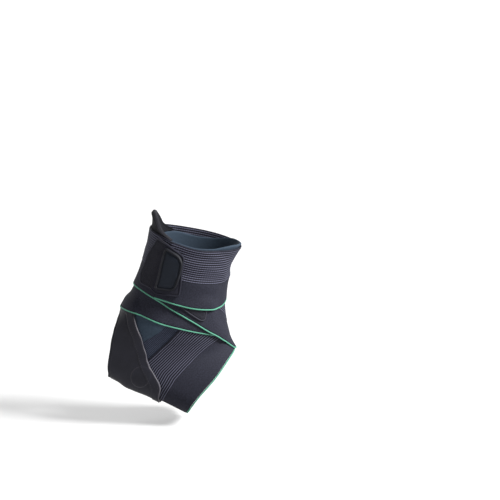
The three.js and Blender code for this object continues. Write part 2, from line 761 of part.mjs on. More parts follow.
// A pad: rings of the outline drawn in to its middle, each with its own height above the base
function padGeometry(outline, rings, height) {
  const middle = { station: 0, angle: 0 };
  for (const point of outline) {
    middle.station += point.station / outline.length;
    middle.angle += point.angle / outline.length;
  }
  const pointAt = (point, share, rise) => {
    const station = lerp(middle.station, point.station, share);
    const angle = lerp(middle.angle, point.angle, share);
    return place(station, angle, height(station, angle) + rise);
  };
  const under = rings.map((ring) => outline.map((point) => pointAt(point, ring.share, 0)));
  const over = rings.map((ring) => outline.map((point) => pointAt(point, ring.share, ring.rise)));
  const loops = [...under, ...over.reverse()];
  const size = outline.length;
  const positions = loops.flat().flatMap((point) => [point.x, point.y, point.z]);
  const low = pointAt(middle, 0, 0);
  const high = pointAt(middle, 0, rings[0].rise);
  positions.push(low.x, low.y, low.z, high.x, high.y, high.z);
  const lowest = loops.length * size;
  const index = [];
  for (let k = 0; k < size; k += 1) {
    const next = (k + 1) % size;
    for (let i = 0; i < loops.length - 1; i += 1) {
      const here = i * size;
      const there = here + size;
      index.push(here + k, there + next, here + next, here + k, there + k, there + next);
    }
    const top = (loops.length - 1) * size;
    index.push(lowest, k, next, lowest + 1, top + next, top + k);
  }
  const geometry = new THREE.BufferGeometry();
  geometry.setAttribute('position', new THREE.Float32BufferAttribute(positions, 3));
  geometry.setIndex(index);
  return geometry;
}

// Heights over the ankle at which the pads lie on the side of the brace
const underPatchLevel = sleeveLayer + strapLayer * 2;
const closureLevel = sleeveLayer + strapLayer * 4;
const tabLevel = closureLevel + PATCH_WALL + LAYER_GAP;

// The under patch lies on the first pass of the upper strap, and lifts the second pass over it
const underPatchOutline = padOutline(
  UNDER_PATCH_OUTLINE, UNDER_PATCH_CORNER, UNDER_PATCH_LENGTH, UNDER_PATCH_WIDTH, underPatchLevel);

function underPatchLift(station, angle) {
  const stations = underPatchOutline.map((point) => point.station);
  const angles = underPatchOutline.map((point) => point.angle);
  const wrapped = THREE.MathUtils.euclideanModulo(angle, 360);
  const up = (Math.min(...stations) - station) * stationLength(station, angle);
  const down = (station - Math.max(...stations)) * stationLength(station, angle);
  const scale = degreeLength(station, angle, SLEEVE_WALL);
  const before = (Math.min(...angles) - wrapped) * scale;
  const after = (wrapped - Math.max(...angles)) * scale;
  return (PATCH_WALL + LAYER_GAP) * lap(Math.max(up, down, before, after));
}

function onFirstPass(station, angle) {
  return upperHeight(station, 180 + angle) + strapLayer;
}

// The closure patch lies half on the end of the upper strap and half on its first pass
const endOfUpper = strapCover(upperStrap, ...UPPER_END);

function onStraps(station, angle) {
  const lift = strapLayer * endOfUpper(station, angle) + underPatchLift(station, angle);
  return onFirstPass(station, angle) + lift;
}

function onClosure(station, angle) {
  return onStraps(station, angle) + PATCH_WALL + LAYER_GAP;
}

// Evenly spaced rings of a patch with one wall
function patchRings(count) {
  return Array.from({ length: count }, (_, i) => ({ share: (i + 1) / count, rise: PATCH_WALL }));
}

function closureGeometry() {
  const outline = padOutline(CLOSURE_OUTLINE, CLOSURE_CORNER, PATCH_LENGTH, PATCH_WIDTH, closureLevel);
  return padGeometry(outline, patchRings(CLOSURE_RINGS), onStraps);
}

// The tab has a raised rim round a lower floor
function tabGeometry() {
  const outline = padOutline(TAB_OUTLINE, TAB_CORNER, TAB_LENGTH, TAB_WIDTH, tabLevel);
  const ringAt = (inset, rise) => ({ share: 1 - (2 * inset) / TAB_LENGTH, rise });
  const rings = [
    ringAt(TAB_RIM_WIDTH + TAB_BEVEL, TAB_FLOOR_WALL),
    ringAt(TAB_RIM_WIDTH, TAB_RIM_WALL),
    ringAt(TAB_BEVEL, TAB_RIM_WALL),
    ringAt(0, TAB_RIM_WALL / 2),
  ];
  return padGeometry(outline, rings, onClosure);
}

function underPatchGeometry() {
  return padGeometry(underPatchOutline, patchRings(UNDER_PATCH_RINGS), onFirstPass);
}

function makeMesh(name, geometry, color, roughness) {
  const material = new THREE.MeshStandardMaterial({ color, roughness, metalness: 0 });
  const mesh = new THREE.Mesh(geometry, material);
  mesh.name = name;
  return mesh;
}

// Each piece is cut clear of the pieces that lie under it
const opening = openingGeometry(0);
const sleeveOpening = openingGeometry(SLEEVE_SETBACK);
const sleeve = sleeveGeometry();
const grownSleeve = sleeveGeometry(LEAST_GAP);
const grownPanel = heelPanelGeometry(LEAST_GAP);
const grownLower = strapGeometry(lowerStrap, lowerHeight, LEAST_GAP);
const grownUpper = strapGeometry(upperStrap, upperHeight, LEAST_GAP);
const lower = cut(strapGeometry(lowerStrap, lowerHeight), grownSleeve, grownPanel);
const lowerEdge = cut(edgeGeometry(lowerStrap, lowerHeight), grownSleeve, grownPanel);
const upper = cut(strapGeometry(upperStrap, upperHeight), grownSleeve, grownPanel, grownLower, lowerEdge);
const upperEdge = cut(edgeGeometry(upperStrap, upperHeight), grownPanel, grownLower);
const underPatch = cut(underPatchGeometry(), grownUpper, upperEdge);

const brace = new THREE.Group();
brace.add(
  makeMesh('knit_sleeve', cut(sleeve, sleeveOpening), COLOURS.slateKnit, 0.9),
  makeMesh('rim_pad', rimPadGeometry(), COLOURS.blackPad, 0.85),
  makeMesh('heel_panel', cut(heelPanelGeometry(), opening, grownSleeve), COLOURS.laminate, 0.65),
  makeMesh('lower_strap', lower, COLOURS.elastic, 0.8),
  makeMesh('lower_strap_edge', lowerEdge, COLOURS.green, 0.7),
  makeMesh('upper_strap', upper, COLOURS.elastic, 0.8),
  makeMesh('upper_strap_edge', upperEdge, COLOURS.green, 0.7),
  makeMesh('under_patch', underPatch, COLOURS.hookFabric, 0.9),
  makeMesh('closure_patch', cut(closureGeometry(), grownUpper), COLOURS.hookFabric, 0.9),
  makeMesh('pull_tab', tabGeometry(), COLOURS.mouldedRubber, 0.55),
);
brace.rotation.y = degToRad(HEEL_LIFT_DEGREES);

export default brace;
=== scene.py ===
"""Ankle brace for a right foot, in the shape it has when worn: a fine knitted sleeve, a laminated heel
panel, two elastic straps with green woven edges, hook patches, a moulded pull tab and a padded rim.
Metres, +X to the toes, +Y to the inner side of the foot, +Z up, origin at the centre of the ankle."""
from functools import partial
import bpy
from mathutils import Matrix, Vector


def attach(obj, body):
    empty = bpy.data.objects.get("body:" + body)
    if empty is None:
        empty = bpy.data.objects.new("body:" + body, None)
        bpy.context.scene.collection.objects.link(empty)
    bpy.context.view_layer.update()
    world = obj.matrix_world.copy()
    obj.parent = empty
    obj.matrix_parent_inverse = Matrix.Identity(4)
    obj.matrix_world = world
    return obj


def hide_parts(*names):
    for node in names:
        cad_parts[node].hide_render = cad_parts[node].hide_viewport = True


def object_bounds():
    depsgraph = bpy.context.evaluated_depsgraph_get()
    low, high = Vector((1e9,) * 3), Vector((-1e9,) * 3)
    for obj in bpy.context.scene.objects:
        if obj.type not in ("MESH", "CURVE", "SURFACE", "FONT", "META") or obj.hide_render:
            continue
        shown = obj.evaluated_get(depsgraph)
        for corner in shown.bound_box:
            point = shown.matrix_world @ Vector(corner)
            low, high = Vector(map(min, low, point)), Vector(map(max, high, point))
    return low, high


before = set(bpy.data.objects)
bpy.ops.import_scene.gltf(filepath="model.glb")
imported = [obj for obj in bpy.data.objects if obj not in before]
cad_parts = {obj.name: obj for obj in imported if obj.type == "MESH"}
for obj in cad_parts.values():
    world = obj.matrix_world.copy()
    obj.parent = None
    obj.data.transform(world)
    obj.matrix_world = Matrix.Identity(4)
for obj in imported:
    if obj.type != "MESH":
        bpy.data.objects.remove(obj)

from types import SimpleNamespace

import bpy
import numpy as np
from bpy.props import FloatProperty, FloatVectorProperty, IntProperty, PointerProperty
from mathutils import Matrix, Vector

bl_info = {
    "name": "Ankle Brace",
    "version": (1, 0, 0),
    "blender": (4, 5, 0),
    "location": "3D View > Sidebar > Brace",
    "description": "Builds a worn ankle brace of knit, elastic and laminate round its frame",
    "category": "Object",
}

CAD_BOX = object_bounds()
MM = 0.001

# Driving sizes of the ankle that the brace fits
LEG_HEIGHT = 0.100
SOLE_DEPTH = 0.066
FOOT_REACH = 0.080
HEEL_REACH = 0.0485
ANKLE_HALF_WIDTH = 0.0325
ANKLE_BONE_RISE = 0.004
HEEL_LIFT = np.radians(22)

# Walls, widths and clearances of the layers
SLEEVE_WALL = 0.0021
RIM_PAD_WALL = 0.0038
HEEL_PANEL_WALL = 0.0021
STRAP_WALL = 0.0015
STRAP_WIDTH = 0.057
EDGE_TAPE_WIDTH = 0.0019
PATCH_WALL = 0.0014
LAYER_GAP = 0.0004
SIDE_GAP = 0.0003
SLEEVE_SETBACK = 0.0025
STRAP_LAYER = STRAP_WALL + LAYER_GAP
PANEL_LAYER = HEEL_PANEL_WALL + LAYER_GAP
SLEEVE_LAYER = SLEEVE_WALL + LAYER_GAP
PATCH_LAYER = PATCH_WALL + LAYER_GAP

# Rough widths across the sleeve, the rim pad and the heel panel, for the share that a half round edge takes
SLEEVE_LENGTH = 0.2
RIM_PAD_HEIGHT = 0.02
PANEL_STRIP = 0.045

# A soft layer that leaves the edge of the one below stays level for the flat, then comes down
LAP_FLAT = 0.0026
LAP_RAMP = 0.0105

# Each layer reaches this far down into the clearance under it, and a green edge stays clear of its strap
TUCK = 0.00005
EDGE_CLEARANCE = 0.00008

# Pads on the straps, along and across them
PATCH_LENGTH = 0.047
PATCH_WIDTH = 0.052
TAB_LENGTH = 0.023
TAB_WIDTH = 0.042
UNDER_PATCH_LENGTH = 0.031
UNDER_PATCH_WIDTH = 0.032
PAD_CORNER_RADIUS = 0.004
SMALLEST_CORNER = 0.0008

# Heel opening, and the rays that make the heel panel: the station and angle of the opening's middle, how
# many of each a ray of share 1 spans, and the share by which every ray has left the panel
OPENING_HALF_WIDTH = 0.0282
OPENING_FRONT = 0.029
OPENING_CORNER = 0.009
OPENING_CENTRE = (7.3, 180.0)
RAY_SPREAD = (3.0, 93.0)
RAY_REACH = 1.6

# Relief of the heel panel
HEM_STEP = 0.0004  # half of the width over which the hem steps up
BINDING_GROOVE = 0.00035  # depth of the groove along the binding
HEM_GROOVE = 0.0002  # depth of the groove along the hem
HEM_GROOVE_GAP = 0.0007  # from the hem to its groove
GROOVE = 0.0005  # half width of both grooves
FRONT_SEAM = 0.0014  # from the edge to the first row of stitches
CREASE_LENGTH = 0.0061  # from the rim, for a radian of the first sine wave
CREASE_TURNS = (1.3, 2.1)  # radians of both waves for a station
CREASE_DEGREES = 17  # round the ankle, for a radian of the second

# Ripples of a stretched strap, the product of two sine waves: length along it, and radians across it
RIPPLES = [(0.011, 3), (0.0173, 5)]

# Knit of the sleeve and of the rim pad: millimetres to a degree round them, and of their whole height; and
# the station where the sleeve's ribbed zone has its set width, between two angles
KNIT_DEGREE, KNIT_HEIGHT = 0.62, 250
PAD_DEGREE, PAD_HEIGHT = 0.6, 26
RIBBED_STATION = 5.12
RIBBED_ANGLES = (60, 180)

# Sections of the ankle from the shin down to the midfoot, as tilted ovals from a point on the front to a
# point on the back. Columns: front X, front Z, back X, back Z as shares of the reach or height on their
# side of the ankle; outer and inner half width; widest, the share of the depth where it is widest; how
# square the front and the back half are; and ridge, the sideways lean of the instep. Widths and ridge
# are shares of the ankle's half width.
SECTIONS = np.array([
    [0.54, 1.12, -1, 1.12, 1.14, 1.14, 0.5, 2.1, 2.1, 0],
    [0.485, 0.93, -0.83, 0.91, 1.046, 1.046, 0.5, 2.1, 2.1, 0],
    [0.462, 0.71, -0.735, 0.67, 0.97, 0.97, 0.5, 2.1, 2.1, 0],
    [0.506, 0.53, -0.69, 0.43, 0.954, 0.954, 0.5, 2.1, 2.1, 0.015],
    [0.585, 0.37, -0.715, 0.2, 1, 1, 0.47, 2.1, 2.1, 0.03],
    [0.67, 0.25, -0.775, -0.03, 1.06, 1.046, 0.44, 2.1, 2.1, 0.046],
    [0.744, 0.165, -0.9, -0.31, 1.046, 1.03, 0.42, 2.1, 2.15, 0.06],
    [0.794, 0.11, -0.97, -0.6, 1, 1, 0.4, 2.1, 2.2, 0.09],
    [0.844, 0.07, -0.83, -0.86, 0.97, 0.954, 0.38, 2.1, 2.4, 0.123],
    [0.888, 0.04, -0.371, -0.924, 0.97, 0.938, 0.36, 2.1, 2.7, 0.154],
    [0.931, 0.015, 0.125, -0.926, 1.015, 0.97, 0.35, 2.1, 2.9, 0.17],
    [0.975, -0.015, 0.45, -0.95, 1.092, 1.03, 0.35, 2.15, 3, 0.185],
    [1.025, -0.053, 0.75, -0.98, 1.17, 1.108, 0.36, 2.2, 3, 0.185],
    [1.125, -0.136, 1, -1, 1.23, 1.17, 0.38, 2.2, 3, 0.185],
])

# Ankle bones: station, angle, spread in stations and spread in degrees
ANKLE_BONES = [(5.15, 98, 0.75, 22), (4.75, 266, 0.8, 24)]

# Top edge by angle from the shin, 0, to the back, 180: angle, station of the sleeve, of the rim pad
RIM_PAD_START = 121
RIM = np.array([
    [0, 0.38, 1.3], [30, 0.47, 1.3], [44, 0.63, 1.3], [63, 0.93, 1.3], [90, 1.15, 1.3], [115, 1.2, 1.2],
    [130, 1.3, 1.1], [144, 1.42, 0.95], [158, 1.45, 0.6], [170, 1.45, 0.42], [180, 1.45, 0.38],
])

# A strap by turn, the angle travelled from the middle of the sole: turn, station of the green edge, lean
# of the cross line in degrees for each station that it climbs, and its length in strap widths
STRAP_ROOT = [
    (0.3, 11.95, 0, 1), (62, 11.66, 2, 1.02), (84, 11.58, 2.8, 1.05), (98, 11.53, 0.1, 1.1),
    (117, 11.44, -3, 1.15), (137, 11.08, -5.7, 1.19), (154, 10.6, -7.6, 1.22), (171, 10.1, -9.6, 1.21),
    (180, 9.98, -9.6, 1.16), (187, 9.9, -9.4, 1.12),
]
LOWER_WRAP = [
    (192, 8.4, -9.2, 1.05), (204, 6.65, -9, 1), (223, 5.6, -8, 1), (240, 5.15, -6.5, 1), (264, 4.8, -5, 1),
    (300, 4.65, -1, 1), (335, 4.75, 0, 1), (360, 4.82, 0, 1), (385, 4.76, 0, 1), (411, 4.75, 0, 1),
    (440, 4.98, 0, 1), (462, 5.15, 0, 1), (479, 5.4, -1, 1), (496, 5.7, -2, 1), (513, 6.1, -3, 1),
]
UPPER_WRAP = [
    (192, 8.35, -9.2, 1.05), (204, 6.62, -9, 1), (223.5, 5.48, -9, 1), (239.5, 4.85, -8, 1),
    (264, 4.3, -7.5, 1), (296.5, 3.83, -6, 1.02), (330, 3.64, -3, 1.02), (368, 3.6, 0, 1.02),
    (410, 3.55, 0, 1), (450, 3.5, 0, 1), (500, 3.4, 0, 1), (540, 3.42, 0, 1), (556, 3.62, 0, 1.06),
    (570, 3.82, 0, 1.1), (590, 3.88, 0, 1.04), (610, 3.9, 0, 1), (630, 3.85, 0, 0.99), (657, 3.78, 0, 1.02),
]

# The straps are wound in turns of this many degrees. The lean and the reach are averaged over about the
# next number of degrees, and the green and the far edge over these lengths, so that the ribs run smoothly
TURN_STEP = 0.75
LEAN_BLUR = 9
EDGE_BLUR = 0.006
FAR_BLUR = 0.02

# Stretches of the straps, from turn to turn, and the turns over which they climb onto what they cross
LOWER_ROOT = (0, 180)
LOWER_ROUND = (180, 513)
LOWER_END = (345, 513)
UPPER_ROOT = (0, 150)
UPPER_FIRST_PASS = (0, 400)
UPPER_END = (500, 657)
ONTO_LOWER = (20, 60)
ONTO_PANEL = (180, 230)
ONTO_ROOT = (330, 400)
ONTO_FIRST_PASS = (385, 440)

# Heel panel on either side: angle from the shin, station of its upper and of its lower edge
PANEL_START = 88.6
HEEL_PANEL = np.array([
    [PANEL_START, 7.9, 8.1], [90, 7.4, 8.5], [92.5, 7.08, 8.8], [99, 6.55, 9.3], [108, 5.93, 9.76],
    [117, 5.5, 10.07], [126, 5.14, 10.26], [135, 4.78, 10.43], [144, 4.5, 10.58], [162, 4.5, 10.72],
    [180, 4.5, 10.75],
])

# Half of the heel opening from its top: height as a share of the sole's depth, share of the half width
OPENING = np.array([
    [-1.3, 0.97], [-0.73, 1], [-0.53, 0.97], [-0.35, 0.86], [-0.18, 0.66], [-0.05, 0.38], [-0.01, 0.2],
    [0.01, 0],
])

# Outlines of the pads: share of the length along the strap, share of the width up it, from a corner given
# by its station and angle
CLOSURE_OUTLINE = [
    (-0.07, 0.12), (0.42, 0.05), (0.58, 0.12), (0.93, 0.13), (1.08, 0.31), (0.98, 0.7), (0.78, 1),
    (0.5, 0.98), (0.05, 0.87),
]
TAB_OUTLINE = [(0.95, 0), (1, 1), (0.3, 0.94), (0.04, 0.82), (0, 0.55), (0.07, 0.2), (0.2, 0.08)]
UNDER_PATCH_OUTLINE = [(0.03, 0.02), (0.2, 0), (1, 0.42), (1, 1), (0, 1)]
CLOSURE_CORNER = (3.72, 92)
TAB_CORNER = (3.38, 93.5)
UNDER_PATCH_CORNER = (4.62, 50)

# Profiles of the pads in millimetres: distance in from the border, height over the layers below
HOOK_PROFILE = MM * np.array([
    (0, 0.5), (0.12, 1.1), (0.4, 1.45), (0.7, 1.6), (1, 1.62), (1.3, 1.55), (1.6, 1.2), (2, 0.9), (2.5, 1.1),
    (3, 1.3),
])
TAB_PROFILE = MM * np.array([
    (0, 0.8), (0.2, 1.6), (0.5, 2.2), (0.9, 2.5), (1.3, 2.6), (1.7, 2.5), (2.1, 1.9), (2.4, 1.2), (2.8, 1.1),
    (3.3, 1.6), (3.9, 1.9),
])


# The worn form

def smooth_step(value, low, high):
    """0 below low, 1 above high and a smooth S between them."""
    share = np.clip((np.asarray(value, float) - low) / (high - low), 0, 1)
    return share * share * (3 - 2 * share)


def mix(low, high, share):
    """The value a share of the way from low to high."""
    return low + (high - low) * share


def unit(vectors):
    """Vectors of length one in the same directions."""
    return vectors / np.linalg.norm(vectors, axis=-1, keepdims=True)


def curve_through(x, y):
    """Smooth curve without overshoot: cubic pieces whose slopes are the harmonic means of the rises."""
    x, y = np.asarray(x, float), np.asarray(y, float)
    rise = np.diff(y) / np.diff(x)
    before, after = rise[:-1], rise[1:]
    same_way = before * after > 0
    total = np.where(same_way, before + after, 1)
    slope = np.concatenate([rise[:1], np.where(same_way, 2 * before * after / total, 0), rise[-1:]])

    def curve(value):
        at = np.clip(value, x[0], x[-1])
        i = np.clip(np.searchsorted(x, at, side="right") - 1, 0, len(x) - 2)
        span = x[i + 1] - x[i]
        t = (at - x[i]) / span
        bend = 3 * rise[i] - 2 * slope[i] - slope[i + 1]
        twist = slope[i] + slope[i + 1] - 2 * rise[i]
        return y[i] + span * t * (slope[i] + t * (bend + t * twist))

    return curve


def smoothed_curve(x, y, blur):
    """The smooth curve through a table, averaged along x by a bell curve of the given spread."""
    fine = np.arange(x[0], x[-1] + 0.5, 0.5)
    bell = np.exp(-0.5 * (np.arange(-3 * blur, 3 * blur + 0.5, 0.5) / blur) ** 2)
    values = np.pad(curve_through(x, y)(fine), len(bell) // 2, mode="edge")
    averaged = np.convolve(values, bell / bell.sum(), mode="valid")
    return lambda value: np.interp(value, fine, averaged)


def averaged(travel, values, blur):
    """Values at even places along a length, each averaged by a bell curve over about a blur, and over less
    near both ends."""
    reach = np.minimum(blur, np.minimum(travel, travel[-1] - travel) / 2 + 1e-5)
    weight = np.exp(-((travel[:, None] - travel) / reach[:, None]) ** 2)
    return weight @ values / weight.sum(1)


def sized_sections():
    """The section table with its shares turned to metres."""
    rows = SECTIONS.copy()
    rows[:, 0] *= FOOT_REACH
    rows[:, 2] *= np.where(rows[:, 2] > 0, FOOT_REACH, HEEL_REACH)
    for column in (1, 3):
        rows[:, column] *= np.where(rows[:, column] > 0, LEG_HEIGHT, SOLE_DEPTH)
    rows[:, [4, 5, 9]] *= ANKLE_HALF_WIDTH
    return np.vstack([2 * rows[0] - rows[1], rows, 2 * rows[-1] - rows[-2]])


ROWS = sized_sections()


def section_at(station):
    """Columns of the section at any station, by smooth curves through the four rows round it."""
    at = np.clip(station, 0, len(SECTIONS) - 1 - 1e-6)
    i = np.floor(at).astype(int)
    t = (at - i)[..., None]
    before, near, far, after = (ROWS[i + k] for k in range(4))
    bend = 2 * before - 5 * near + 4 * far - after
    twist = 3 * near - before - 3 * far + after
    return np.moveaxis(near + 0.5 * t * (far - before + t * (bend + t * twist)), -1, 0)


def ankle_point(station, angle):
    """Point of the ankle: on the section's oval, whose radius is (|cos|^n + |sin|^n)^(-1/n), at an angle
    that is 0 at the front, 90 on the outer side and 180 at the back, with the ankle bones raised."""
    station, angle = np.broadcast_arrays(np.asarray(station, float), np.asarray(angle, float))
    (front_x, front_z, back_x, back_z, outer, inner, widest, front_full, back_full,
     ridge) = section_at(station)
    forward, aside = np.cos(np.radians(angle)), np.sin(np.radians(angle))
    full = np.where(forward > 0, front_full, back_full)
    radius = (np.abs(forward) ** full + np.abs(aside) ** full) ** (-1 / full)
    along = widest + np.where(forward > 0, 1 - widest, widest) * radius * forward
    y = ridge * along * along - np.where(aside > 0, outer, inner) * radius * aside
    for bone_station, bone_angle, station_spread, angle_spread in ANKLE_BONES:
        across = ((angle - bone_angle + 180) % 360 - 180) / angle_spread
        down = (station - bone_station) / station_spread
        y = y - np.sign(aside) * ANKLE_BONE_RISE * np.exp(-across * across - down * down)
    return np.stack([mix(back_x, front_x, along), y, mix(back_z, front_z, along)], -1)


def stand_off(station, angle, height):
    """Point that stands off the ankle by a height, square to its surface."""
    step, degrees = 0.004, 0.04
    down = ankle_point(station + step, angle) - ankle_point(station - step, angle)
    around = ankle_point(station, angle + degrees) - ankle_point(station, angle - degrees)
    out = unit(np.cross(around, down))
    return ankle_point(station, angle) + out * np.asarray(height, float)[..., None]


def station_length(station, angle):
    """Metres for one station along a column of the ankle."""
    step = 0.004
    span = ankle_point(station + step, angle) - ankle_point(station - step, angle)
    return np.linalg.norm(span, axis=-1) / (2 * step)


def degree_length(station, angle, height):
    """Metres for one degree round the ankle, at a height over it."""
    span = stand_off(station, angle + 1, height) - stand_off(station, angle - 1, height)
    return np.linalg.norm(span, axis=-1) / 2


def walk_up(station, angle, distance, lean=0.0):
    """Place reached by walking up for a distance, turning by lean degrees for each station climbed."""
    steps = 24
    for _ in range(steps):
        up = station_length(station, angle)
        aside = lean * degree_length(station, angle, SLEEVE_WALL)
        climb = distance / steps / np.hypot(up, aside)
        station = station - climb
        angle = angle + lean * climb
    return station, angle


def fold(angle):
    """The same angle seen from the nearer side, 0 at the front and 180 at the back."""
    turn = np.mod(angle, 360)
    return np.where(turn > 180, 360 - turn, turn)


def lift_heel(points):
    """Points of the level foot with the heel lifted, turned about Y so that the toes point down."""
    x, y, z = np.moveaxis(np.asarray(points, float), -1, 0)
    c, s = np.cos(HEEL_LIFT), np.sin(HEEL_LIFT)
    return np.stack([c * x + s * z, y, c * z - s * x], -1)


# Straps on the form

def travelled(points):
    """Distance gone at each point of a path."""
    return np.concatenate([[0], np.cumsum(np.linalg.norm(np.diff(points, axis=0), axis=1))])


def wind_strap(side, wrap):
    """A strap, 1 when its root is on the outer side and -1 on the inner: the station of its green edge by
    turn, and cross lines at close turns from that edge to the far one."""
    turns, edges, leans, reaches = (np.array(column, float) for column in zip(*STRAP_ROOT, *wrap))
    tape = curve_through(turns, edges)
    lean, reach = (smoothed_curve(turns, column, LEAN_BLUR) for column in (leans, reaches))

    def angle_of(turn):
        return side * (180 - turn)

    def length_gone():
        moves = [np.linalg.norm(np.diff(ankle_point(*place), axis=0), axis=-1)
                 for place in ((edge, angle_of(turn)), (far, far_angle))]
        return np.concatenate([[0], np.cumsum(np.maximum(*moves))])

    turn = np.linspace(turns[0], turns[-1], int((turns[-1] - turns[0]) / TURN_STEP) + 1)
    edge = tape(turn) - (SIDE_GAP + EDGE_TAPE_WIDTH / 2) / station_length(tape(turn), angle_of(turn))
    far, far_angle = walk_up(edge, angle_of(turn), reach(turn) * STRAP_WIDTH, -side * lean(turn))
    travel = length_gone()
    even = np.linspace(0, 1, 1000) * travel[-1]
    turn, edge, far, far_angle = (
        averaged(even, np.interp(even, travel, column), blur)
        for column, blur in ((turn, EDGE_BLUR), (edge, EDGE_BLUR), (far, FAR_BLUR), (far_angle, FAR_BLUR)))

    def edge_of(wanted):
        return np.interp(wanted, turn, edge)

    def lines(wanted):
        return ((edge_of(wanted), np.interp(wanted, turn, far)),
                (angle_of(wanted), np.interp(wanted, turn, far_angle)))

    return SimpleNamespace(side=side, turn=turn, travel=length_gone(), edge=edge, far=far,
                           far_turn=180 - side * far_angle, angle_of=angle_of, edge_of=edge_of, lines=lines)


def nearest_distance(points, border):
    """Distance from each point to the nearest of the border's points, by |p - b|² = |b|² - 2 p·b + |p|²."""
    border = border.reshape(-1, 3) / MM
    squares = (border ** 2).sum(-1)
    nearest = [(squares - 2 * block @ border.T).min(1) + (block ** 2).sum(-1)
               for block in np.array_split(points.reshape(-1, 3) / MM, 40)]
    return np.sqrt(np.maximum(np.concatenate(nearest), 0)).reshape(points.shape[:-1]) * MM


def distance_map(border, is_inside):
    """Distance outside a region of the ankle, negative inside it: worked out on a net of stations and
    angles as the distance to the nearest point of the region's border, and read by bilinear shares."""
    station_step, angle_step, stations, angles = 0.05, 1.25, 261, 288
    net = np.meshgrid(np.arange(stations) * station_step, np.arange(angles) * angle_step, indexing="ij")
    values = nearest_distance(ankle_point(*net), border) * np.where(is_inside(*net), -1, 1)

    def distance(station, angle):
        row = np.clip(np.asarray(station) / station_step, 0, stations - 1.001)
        column = np.mod(angle, 360) / angle_step
        i, j = np.floor(row).astype(int), np.floor(column).astype(int) % angles
        down, across = row - i, column - np.floor(column)
        right = (j + 1) % angles
        return mix(*(mix(values[k, j], values[k, right], across) for k in (i, i + 1)), down)

    return distance


def strap_map(strap, first, last):
    """Distance outside a stretch of a strap, whose border is both long edges and its two end lines."""
    keep = (strap.turn >= first) & (strap.turn <= last)
    columns = [values[keep] for values in (strap.turn, strap.edge, strap.far_turn, strap.far)]
    turn, edge, far_turn, far = columns
    index = np.arange(len(turn))
    fine = [np.interp(np.linspace(0, index[-1], 2 * len(turn) - 1), index, values) for values in columns]
    share = np.linspace(0, 1, 120)
    ends = [[mix(turn[i], far_turn[i], share), mix(edge[i], far[i], share)] for i in (0, -1)]
    border = np.concatenate([ankle_point(station, strap.angle_of(at))
                             for at, station in (fine[:2], fine[2:], *ends)])

    def is_inside(station, angle):
        at = 180 - strap.side * angle
        at = at + 360 * np.ceil((min(turn[0], far_turn[0]) - at) / 360)
        inside = False
        for at in (at, at + 360):
            low, high = strap.edge_of(np.clip(at, turn[0], turn[-1])), np.interp(at, far_turn, far)
            share = (low - station) / (low - high)
            begins, stops = (mix(turn[i], far_turn[i], share) for i in (0, -1))
            inside |= (share >= 0) & (share <= 1) & (at >= begins) & (at <= stops)
        return inside

    return distance_map(border, is_inside)


# Layers on the form

lower_strap, upper_strap = wind_strap(1, LOWER_WRAP), wind_strap(-1, UPPER_WRAP)
lower_root_map = strap_map(lower_strap, *LOWER_ROOT)
panel_top, panel_bottom = (curve_through(HEEL_PANEL[:, 0], HEEL_PANEL[:, k]) for k in (1, 2))
sleeve_top, pad_top = (curve_through(RIM[:, 0], RIM[:, k]) for k in (1, 2))
opening_half = curve_through(OPENING[:, 0] * SOLE_DEPTH, OPENING[:, 1] * OPENING_HALF_WIDTH)


def lap(*outside):
    """1 on a layer and 0 away from it, by the largest distance outside its edges."""
    return 1 - smooth_step(np.maximum.reduce(outside), LAP_FLAT, LAP_FLAT + LAP_RAMP)


def under_strap(distance):
    """How much a stretch of a strap and its green edge lift what lies on them."""
    return lambda station, angle: lap(distance(station, angle) - EDGE_TAPE_WIDTH - SIDE_GAP)


on_lower_root = under_strap(lower_root_map)
on_lower_round, on_lower_end = (
    under_strap(strap_map(lower_strap, *stretch)) for stretch in (LOWER_ROUND, LOWER_END))
on_upper_root, on_upper_first, on_upper_end = (
    under_strap(strap_map(upper_strap, *stretch)) for stretch in (UPPER_ROOT, UPPER_FIRST_PASS, UPPER_END))


def panel_cover(station, angle):
    """How much the heel panel lifts what lies on it."""
    near = np.maximum(fold(angle), PANEL_START)
    scale = station_length(station, angle)
    return lap((panel_top(near) - station) * scale, (station - panel_bottom(near)) * scale,
               (near - fold(angle)) * degree_length(station, near, SLEEVE_WALL))


def on_sleeve(station, angle):
    """Height of the first layer over the sleeve, which is thicker on the rim pad."""
    cover = lap((station - sleeve_top(fold(angle))) * station_length(station, angle),
                (RIM_PAD_START - fold(angle)) * degree_length(station, angle, SLEEVE_WALL))
    return SLEEVE_LAYER + (RIM_PAD_WALL - SLEEVE_WALL) * cover


def panel_height(station, angle):
    """Height of the heel panel, over the sleeve and both strap roots."""
    on_roots = np.maximum(on_lower_root(station, angle), on_upper_root(station, angle))
    return SLEEVE_LAYER + STRAP_LAYER * on_roots


def on_panel(station, angle, turn):
    """How much the heel panel lifts a strap, which starts below it."""
    return PANEL_LAYER * panel_cover(station, angle) * smooth_step(turn, *ONTO_PANEL)


def lower_height(station, angle, turn):
    """Height of the lower strap, over the sleeve, the heel panel and its own root."""
    on_root = STRAP_LAYER * on_lower_root(station, angle) * smooth_step(turn, *ONTO_ROOT)
    return on_sleeve(station, angle) + on_panel(station, angle, turn) + on_root


def upper_height(station, angle, turn):
    """Height of the upper strap, over the lower one, which lies double where its end crosses its root, the
    heel panel and its own first pass."""
    root = on_lower_root(station, angle)
    layers = (np.maximum(root, on_lower_round(station, angle))
              + np.minimum(root, on_lower_end(station, angle)))
    first_pass = STRAP_LAYER * on_upper_first(station, angle) + under_patch_lift(station, angle)
    return (on_sleeve(station, angle) + STRAP_LAYER * layers * smooth_step(turn, *ONTO_LOWER)
            + on_panel(station, angle, turn) + first_pass * smooth_step(turn, *ONTO_FIRST_PASS))


